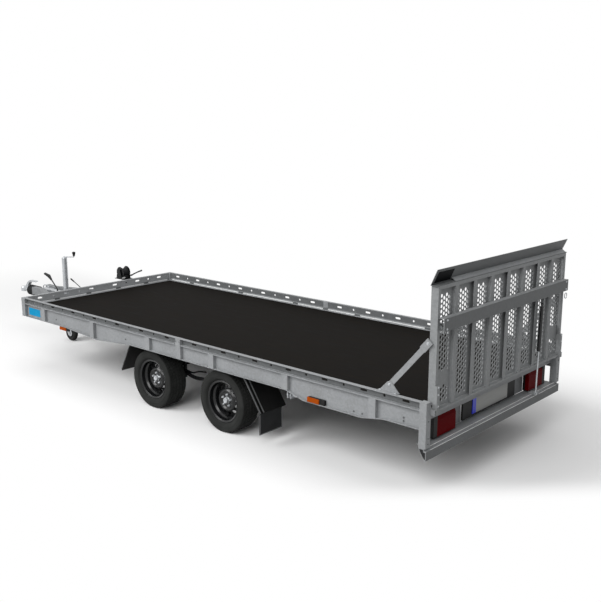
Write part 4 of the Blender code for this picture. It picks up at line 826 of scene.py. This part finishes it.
guardLook = {
    "rear": ((1.876, 0.5475), (1.774, 0.5475), (1.59, 0.283)), "rearAt": (0.944, 0.905), "rearRadius": 0.0065,
    "front": ((3.17, 0.5475), (3.272, 0.5475), (3.414, 0.283)), "frontAt": (0.944,), "frontRadius": 0.0055,
    "bend": 0.03, "piping": 0.007, "pipingOut": (0.0012, 0.0002), "flapTop": 0.004,
}
for side, way in sidePlaces.items():
    look, ridges, piping = guardLook, bmesh.new(), bmesh.new()
    for end in ("rear", "front"):
        for x in look[f"{end}At"]:
            bent = roundedPath([(way * x, y, z) for y, z in look[end]], look["bend"])
            addTube(ridges, bent, look[f"{end}Radius"], 10)
    # The ridges' greyer plastic carries painted highlights.
    addPiece(f"mudguard_{side}_ridges_look", ridges, ridgePaintedHighlight, "chassis")
    low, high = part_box(f"mudflap_{side}")
    ys = [low.y - out for out in look["pipingOut"]]
    for xs, zs in (((low.x, low.x + look["piping"]), (low.z, high.z - look["flapTop"])),
                   ((high.x - look["piping"], high.x), (low.z, high.z - look["flapTop"])),
                   ((low.x, high.x), (low.z, low.z + look["piping"]))):
        addBox(piping, xs, ys, zs)
    addPiece(f"mudflap_{side}_piping_look", piping, greyPiping, "chassis", 0, inBed=False)


# Bolts on the frame and the ramp: place on the right side, the way they face, size, and whether they have a washer

boltPlaces = {
    "frame": [((0.9702, y, z), (1, 0, 0), 0.0055, True)
              for y, z in ((0.629, 0.542), (0.554, 0.541), (0.2, 0.6), (0.2, 0.575), (4.45, 0.6), (3.3, 0.6))]
    + [((1.0, y, 0.722), (1, 0, 0), 0.0045, False) for y in (2.505, 2.545)]
    + [((0.972, 0.0, z), (0, -1, 0), 0.005, False) for z in (0.46, 0.5, 0.62)],
    "ramp": [((0.885, -0.0622, z), (0, -1, 0), 0.006, True) for z in (1.245, 1.305)]
    + [((0.92, -0.0352, z), (0, -1, 0), 0.0055, True) for z in (0.72, 0.8, 0.85)],
}


def buildBolts(places, ways=(-1, 1)):
    work = bmesh.new()
    for way in ways:
        for centre, direction, size, washer in places:
            addBolt(work, flip(way, centre), flip(way, direction), size, washer)
    return work


addPiece("frame_bolts_look", buildBolts(boltPlaces["frame"]), galvanisedPaintedShade, "chassis")
addPiece("ramp_bolts_look", buildBolts(boltPlaces["ramp"]), zinc, "ramp")
print("bumper, guards and bolts built")


# Rails: folded channels whose webs carry slots and round holes in turn, with the stay brackets and middle posts

railLook = {
    "heights": (0.69, 0.75), "holeHeight": 0.72, "slot": (0.06, 0.019), "round": 0.0105, "sheet": 0.004,
    "sideRun": (0.0573, 4.9897), "middle": 2.525, "sidePitch": 0.36, "sideSlots": 7, "web": 0.966,
    "lip": (0.9662, 1.0), "past": 0.0002, "lipBevel": 0.0012,
    "frontHalf": 0.9497, "frontPitch": 0.32, "frontSlots": 3, "frontAt": 5.016, "frontDeep": (0.0042, 0.034),
    "post": ((0.962, 0.9995), (2.4945, 2.5555), (0.6903, 0.7496)),
}
bracketLook = {
    "pivot": (0.337, 0.8), "foot": ((0.9472, 0.99), (0.252, 0.422), (0.7502, 0.754)), "plate": (0.9472, 0.9532),
    "outline": ((0.257, 0.752), (0.417, 0.752), (0.359, 0.814), (0.349, 0.821), (0.325, 0.821), (0.315, 0.814)),
    "pin": ((-0.0185, 0.0), (-0.0185, 0.0058), (0.006, 0.0058), (0.006, 0.0)),
    "bolts": [((0.9535, 0.337, 0.8), (1, 0, 0), 0.0075, True), ((0.9395, 0.337, 0.8), (-1, 0, 0), 0.007, False),
              ((0.972, 0.272, 0.7543), (0, 0, 1), 0.0055, True), ((0.972, 0.402, 0.7543), (0, 0, 1), 0.0055, True)],
    "tip": (0.034, 0.036), "tipBolt": 0.008,
}


def holedWeb(start, end, centre, pitch, slots):
    look, work = railLook, bmesh.new()
    (low, high), (length, tall) = look["heights"], look["slot"]
    outlines = [[(start, low), (end, low), (end, high), (start, high)]]
    for way in (-1, 1):
        for k in range(slots):
            middle, reach = centre + way * pitch * (k + 0.5), (length - tall) / 2
            ends = [(shift, (turn + 30 * c) / 360) for turn, shift in ((-90, reach), (90, -reach)) for c in range(7)]
            points = [(middle + shift, onCircle(tall / 2, share)) for shift, share in ends]
            outlines.append([(x + a, look["holeHeight"] + b) for x, (a, b) in points])
        for k in range(1, slots):
            points = [onCircle(look["round"], c / 16) for c in range(16)]
            outlines.append([(centre + way * pitch * k + a, look["holeHeight"] + b) for a, b in points])
    addSheet(work, outlines, look["sheet"])
    return work


foot, top = railLook["heights"]
lipHeights = [(foot, foot + railLook["sheet"]), (top - railLook["sheet"], top)]
for side, way in sidePlaces.items():
    web = holedWeb(*railLook["sideRun"], railLook["middle"], railLook["sidePitch"], railLook["sideSlots"])
    turn = Matrix(((0, way, 0, way * railLook["web"]), (1, 0, 0, 0), (0, 0, 1, 0), (0, 0, 0, 1)))
    bmesh.ops.transform(web, matrix=turn, verts=web.verts)
    # The side rails' webs get the darker skin that carries painted shade.
    made = addPiece(f"rail_{side}_web_look", web, galvanisedPaintedShade, "chassis", 0)
    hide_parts(f"rail_{side}")
    lips = bmesh.new()
    for low, high in lipHeights:
        addBox(lips, railLook["lip"], railLook["sideRun"], (low - railLook["past"], high + railLook["past"]),
               railLook["lipBevel"], way)
    addBox(lips, *railLook["post"], 0.0015, way)
    addBox(lips, *bracketLook["foot"], 0.001, way)
    addPrism(lips, bracketLook["outline"], "x", *bracketLook["plate"], way)
    addPiece(f"rail_{side}_lips_look", lips, galvanised, "chassis", 0)
    bolts = buildBolts(bracketLook["bolts"], (way,))
    pivot = (way * bracketLook["bolts"][0][0][0], *bracketLook["pivot"])
    addLathe(bolts, bracketLook["pin"], 16, facing((way, 0, 0), pivot))
    addPiece(f"stay_{side}_bolts_look", bolts, zinc, "chassis")
    low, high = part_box(f"stay_{side}")
    tip = bmesh.new()
    addBolt(tip, (low.x if way < 0 else high.x, low.y + bracketLook["tip"][0], high.z - bracketLook["tip"][1]),
            (way, 0, 0), bracketLook["tipBolt"])
    addPiece(f"stay_{side}_tip_look", tip, zinc, f"stay_{side}", inBed=False)

front = (-railLook["frontHalf"], railLook["frontHalf"])
web = holedWeb(*front, 0.0, railLook["frontPitch"], railLook["frontSlots"])
for zs in lipHeights:
    addBox(web, front, railLook["frontDeep"], zs)
bmesh.ops.translate(web, vec=(0, railLook["frontAt"], 0), verts=web.verts)
# The front rail's lighter skin carries painted light.
made = addPiece("rail_front_look", web, galvanisedFrontPaintedLight, "chassis", 0)
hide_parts("rail_front")
print("rails built")


# Ramp crossbar: a darker skin on its rear face that carries painted shade, and the latch ring beside it

crossLook = {"face": ((-0.917, 0.917), (-0.063, -0.0624), (1.2315, 1.3175)), "ring": (0.936, -0.04, 1.18),
             "ringSize": (0.02, 0.022), "ringBar": 0.0035}
skin, ring = bmesh.new(), bmesh.new()
addBox(skin, *crossLook["face"])
# Painted shade: a darker skin over the crossbar's rear face.
addPiece("crossbar_face_painted_shade_look", skin, galvanisedPaintedShade, "ramp", 0)
x, y, z = crossLook["ring"]
wide, tall = crossLook["ringSize"]
turns = [math.radians(15 * k) for k in range(25)]
addTube(ring, [(x + wide * math.sin(a), y, z + tall * math.cos(a)) for a in turns], crossLook["ringBar"], 8,
        capped=False)
addPiece("ramp_latch_ring_look", ring, zinc, "ramp")


# Front end: winch, jockey crank, coupling bellows, lever grip and jockey hub

winchLook = {
    "centre": (5.125, 0.826), "discs": (0.318, 0.41), "discSheet": 0.006, "radius": 0.068, "root": 0.93, "teeth": 26,
    "boss": ((-0.004, 0.0), (-0.004, 0.022), (0.01, 0.022), (0.01, 0.0)), "cheeks": (0.302, 0.426), "cheekSheet": 0.005,
    "cheek": ((5.075, 0.7506), (5.18, 0.7506), (5.155, 0.856), (5.11, 0.866)),
    "base": ((0.3, 0.434), (5.05, 5.21), (0.7503, 0.7563)), "back": ((0.318, 0.416), (5.0503, 5.058), (0.612, 0.752)),
    "tubes": (([(0.296, 5.097, 0.781), (0.47, 5.097, 0.781)], 0.009, 16),
              ([(0.462, 5.105, 0.774), (0.468, 5.065, 0.798), (0.474, 5.01, 0.822)], 0.0075, 12),
              ([(0.468, 5.015, 0.82), (0.575, 5.065, 0.822)], 0.0045, 12),
              ([(0.5, 5.03, 0.821), (0.586, 5.07, 0.822)], [0.008, 0.0105], 14)),
    "strap": ((0.328, 0.0), (0.328, 0.046), (0.408, 0.046), (0.408, 0.0)),
}


def buildWinch():
    look, body, strap = winchLook, bmesh.new(), bmesh.new()
    y, z = look["centre"]
    teeth = look["teeth"] * 2
    for x in look["discs"]:
        points = [onCircle(look["radius"] * (1 if k % 2 else look["root"]), k / teeth) for k in range(teeth)]
        addPrism(body, [(y + a, z + b) for a, b in points], "x", x, x + look["discSheet"])
        addLathe(body, look["boss"], 20, facing((1, 0, 0), (x, y, z)))
    for x in look["cheeks"]:
        addPrism(body, look["cheek"], "x", x, x + look["cheekSheet"])
    for part in ("base", "back"):
        addBox(body, *look[part], 0.001)
    for path, radius, steps in look["tubes"]:
        addTube(body, path, radius, steps)
    addLathe(strap, look["strap"], 28, Matrix.Translation((0, y, z)))
    return body, strap


winch, strap = buildWinch()
made = addPiece("winch_look", winch, powderCoat, "chassis")
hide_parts("winch_frame", "winch_drum")
addPiece("winch_strap_look", strap, flapRubber, "chassis")

jockeyLook = {
    "tube": (-0.066, 5.673, 0.0), "knobAt": (-0.066, 5.47, 0.0), "wheel": (-0.066, 5.603, 0.1),
    "cap": metres((980.4, 0), (980.4, 30), (986, 30.5), (990, 29), (990, 14), (1004, 13), (1006, 0)),
    "arm": ((-0.066, 5.673, 0.998), (-0.066, 5.6, 1.006), (-0.066, 5.475, 1.02), (-0.066, 5.47, 1.036)),
    "armBar": 0.0062, "armBend": 0.02,
    "knob": metres((1030, 0), (1030, 10), (1034, 13.5), (1045, 12.5), (1056, 16.5), (1068, 19.5), (1078, 16.5),
        (1083, 0)),
    "hub": metres((29.2, 0), (29.2, 42), (30.6, 44), (31.2, 41), (30.8, 24), (33, 22), (33, 0)),
}
upright = Matrix.Rotation(-math.pi / 2, 4, "Y")
crank, knob, hub = bmesh.new(), bmesh.new(), bmesh.new()
addLathe(crank, jockeyLook["cap"], 28, Matrix.Translation(jockeyLook["tube"]) @ upright)
addTube(crank, roundedPath(jockeyLook["arm"], jockeyLook["armBend"]), jockeyLook["armBar"], 12)
addLathe(knob, jockeyLook["knob"], 24, Matrix.Translation(jockeyLook["knobAt"]) @ upright)
made = addPiece("jockey_crank_look", crank, zinc, "chassis")
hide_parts("jockey_crank")
addPiece("jockey_knob_look", knob, blackPlastic, "chassis")

couplingLook = {
    "height": 0.4767, "start": ((6.372, 0.0), (6.372, 0.041)), "end": ((6.592, 0.04), (6.6, 0.032), (6.6, 0.0)),
    "folds": 7, "pitch": 0.03, "fold": ((6.38, 0.06), (6.389, 0.064), (6.398, 0.06), (6.404, 0.05)),
    "grip": ((0, 6.09, 0.664), (0, 6.135, 0.694), (0, 6.18, 0.712), (0, 6.235, 0.722)),
    "gripRadii": (0.012, 0.0155, 0.016, 0.012),
}
folds = [(y + couplingLook["pitch"] * k, r) for k in range(couplingLook["folds"]) for y, r in couplingLook["fold"]]
bellows, grip = bmesh.new(), bmesh.new()
addLathe(bellows, [*couplingLook["start"], *folds, *couplingLook["end"]], 40,
         Matrix.Translation((0, 0, couplingLook["height"])) @ Matrix.Rotation(math.pi / 2, 4, "Z"))
addPiece("coupling_bellows_look", bellows, flapRubber, "chassis")
addTube(grip, couplingLook["grip"], couplingLook["gripRadii"], 16)
addPiece("lever_grips_look", grip, blackPlastic, "chassis")
for way in (-1, 1):
    addLathe(hub, jockeyLook["hub"], 36, Matrix.Translation(jockeyLook["wheel"]) @ Matrix.Diagonal((way, 1, 1, 1)))
addPiece("jockey_hub_look", hub, zinc, "jockey_wheel")
print("front end dressed")


# Running gear seen between the wheels: swing arms, brake pipe and a bracket behind each guard

gearLook = {
    "arm": ((0.7, 2.8, 0.335), (0.7, 2.66, 0.3), (0.7, 2.5, 0.315)), "armBar": (0.017, 14),
    "pipe": ((0.705, 2.79, 0.36), (0.705, 2.68, 0.34), (0.705, 2.6, 0.375), (0.705, 2.5, 0.385)),
    "pipeBar": (0.007, 10), "bend": 0.05, "hanger": ((0.69, 0.718), (2.772, 2.796), (0.285, 0.452)),
    "tabs": ((1.285, 1.292), (1.318, 1.325)), "tab": ((0.862, 0.918), (0.468, 0.5595)), "rod": (0.894, 1.34, 0.492),
    "rodShape": ((-0.004, 0.0), (-0.004, 0.009), (0.095, 0.009), (0.095, 0.0)), "bolt": (0.894, 1.2848, 0.525),
}
for side, way in sidePlaces.items():
    look, arms, bracket = gearLook, bmesh.new(), bmesh.new()
    for part in ("arm", "pipe"):
        addTube(arms, roundedPath([flip(way, point) for point in look[part]], look["bend"]), *look[f"{part}Bar"])
    addBox(arms, *look["hanger"], 0.003, way)
    addPiece(f"swing_arm_{side}_look", arms, powderCoat, "chassis")
    for ys in look["tabs"]:
        addBox(bracket, look["tab"][0], ys, look["tab"][1], 0.001, way)
    addLathe(bracket, look["rodShape"], 16, facing((0, -1, 0), flip(way, look["rod"])))
    addBolt(bracket, flip(way, look["bolt"]), (0, -1, 0), 0.008)
    addPiece(f"guard_bracket_{side}_look", bracket, zinc, "chassis")
print("running gear dressed")


# Floor, light and camera

studioLook = {
    "floor": "#f4f4f4", "floorBounce": "#9a9a9a", "floorHalf": 30.0, "floorLow": -0.0005, "roughness": 0.85,
    "specular": 0.1, "world": 0.34,
    # where the floor turns to plain white for the camera: from the middle, and towards the left, rear and right
    "fades": ((None, 3.6, 8.0), ((-1, 0, 0), 1.15, 1.75), ((-1, -1, 0), 3.7, 4.25), ((1, 0, 0), 1.3, 3.0)),
    "softboxes": {
        "frontSoftbox": ((-12.6, 5.6, 9.6), (0, 0, 0.5), (9.0, 9.0), 1750),
        "rearSoftbox": ((-12.4, -6.6, 10.6), (0, 0, 0.5), (9.0, 9.0), 1450),
        "topSoftbox": ((0.0, -1.0, 14.0), (0, -0.5, 0), (12.0, 14.0), 420),
    },
}


def largest(tree, *values):
    found = values[0]
    for value in values[1:]:
        found = addNode(tree, "ShaderNodeMath", {"operation": "MAXIMUM"}, {0: found, 1: value}).outputs["Value"]
    return found


def seenRays(tree):
    # Camera, mirror and see-through rays meet the pale background; the rest carry only the plain light.
    rays = addNode(tree, "ShaderNodeLightPath").outputs
    return largest(tree, rays["Is Camera Ray"], rays["Is Transmission Ray"], rays["Is Glossy Ray"])


def buildStudio():
    look, work = studioLook, bmesh.new()
    bmesh.ops.create_circle(work, cap_ends=True, segments=96, radius=look["floorHalf"])
    mesh = bpy.data.meshes.new("floorMesh")
    work.to_mesh(mesh)
    work.free()
    floor = inScene("studioFloor", mesh)
    floor.location = (0, 0, look["floorLow"])
    made, tree, shader, place, relief = newMaterial("paintedStudioFloor", look)
    # Seen by the camera, the floor fades to plain white away from the object; near it, it keeps the object's shadow.
    steps = []
    for direction, start, end in look["fades"]:
        inputs = {0: place, 1: direction} if direction else {0: place}
        kind = "DOT_PRODUCT" if direction else "LENGTH"
        value = addNode(tree, "ShaderNodeVectorMath", {"operation": kind}, inputs).outputs["Value"]
        steps.append(addNode(tree, "ShaderNodeMapRange", {"interpolation_type": "SMOOTHSTEP"},
                             {"Value": value, "From Min": start, "From Max": end}).outputs["Result"])
    seen = seenRays(tree)
    addNode(tree, "ShaderNodeMix", {"data_type": "RGBA"},
            {"Factor": seen, 6: linear(look["floorBounce"]), 7: linear(look["floor"])},
            feeds=(2, shader.inputs["Base Color"]))
    both = addNode(tree, "ShaderNodeMath", {"operation": "MULTIPLY"}, {0: seen, 1: largest(tree, *steps)})
    white = addNode(tree, "ShaderNodeEmission", {}, {"Color": (1, 1, 1, 1), "Strength": 1.0})
    addNode(tree, "ShaderNodeMixShader", {},
            {"Fac": both.outputs["Value"], 1: shader.outputs["BSDF"], 2: white.outputs["Emission"]},
            feeds=("Shader", tree.nodes["Material Output"].inputs["Surface"]))
    mesh.materials.append(made)


def buildWorld():
    world = bpy.data.worlds.new("studioAir")
    bpy.context.scene.world = world
    world.use_nodes = True
    tree = world.node_tree
    backdrop = tree.nodes["Background"]
    backdrop.inputs["Color"].default_value = (1, 1, 1, 1)
    addNode(tree, "ShaderNodeMapRange", {}, {"Value": seenRays(tree), "To Min": studioLook["world"], "To Max": 1.0},
            feeds=("Result", backdrop.inputs["Strength"]))


def addSoftbox(name, location, target, size, power):
    data = bpy.data.lights.new(name, "AREA")
    data.shape, data.size, data.size_y, data.energy = "RECTANGLE", size[0], size[1], power
    made = inScene(name, data)
    made.location = location
    made.rotation_mode = "QUATERNION"
    made.rotation_quaternion = (Vector(target) - Vector(location)).to_track_quat("-Z", "Y")


buildStudio()
buildWorld()
for name, settings in studioLook["softboxes"].items():
    addSoftbox(name, *settings)

cameraLook = {"place": (-5.4419, -6.2248, 2.5772), "turn": (77.74, 0.0, -48.149), "lens": 50.0, "sensor": 36.0,
              "far": 200.0}
cameraData = bpy.data.cameras.new("productCamera")
cameraData.lens, cameraData.sensor_width, cameraData.clip_end = (cameraLook[key] for key in ("lens", "sensor", "far"))
camera = inScene("productCamera", cameraData)
camera.location = cameraLook["place"]
camera.rotation_euler = [math.radians(a) for a in cameraLook["turn"]]
bpy.context.scene.camera = camera
bpy.context.scene.view_settings.view_transform = "Standard"
print("studio ready")
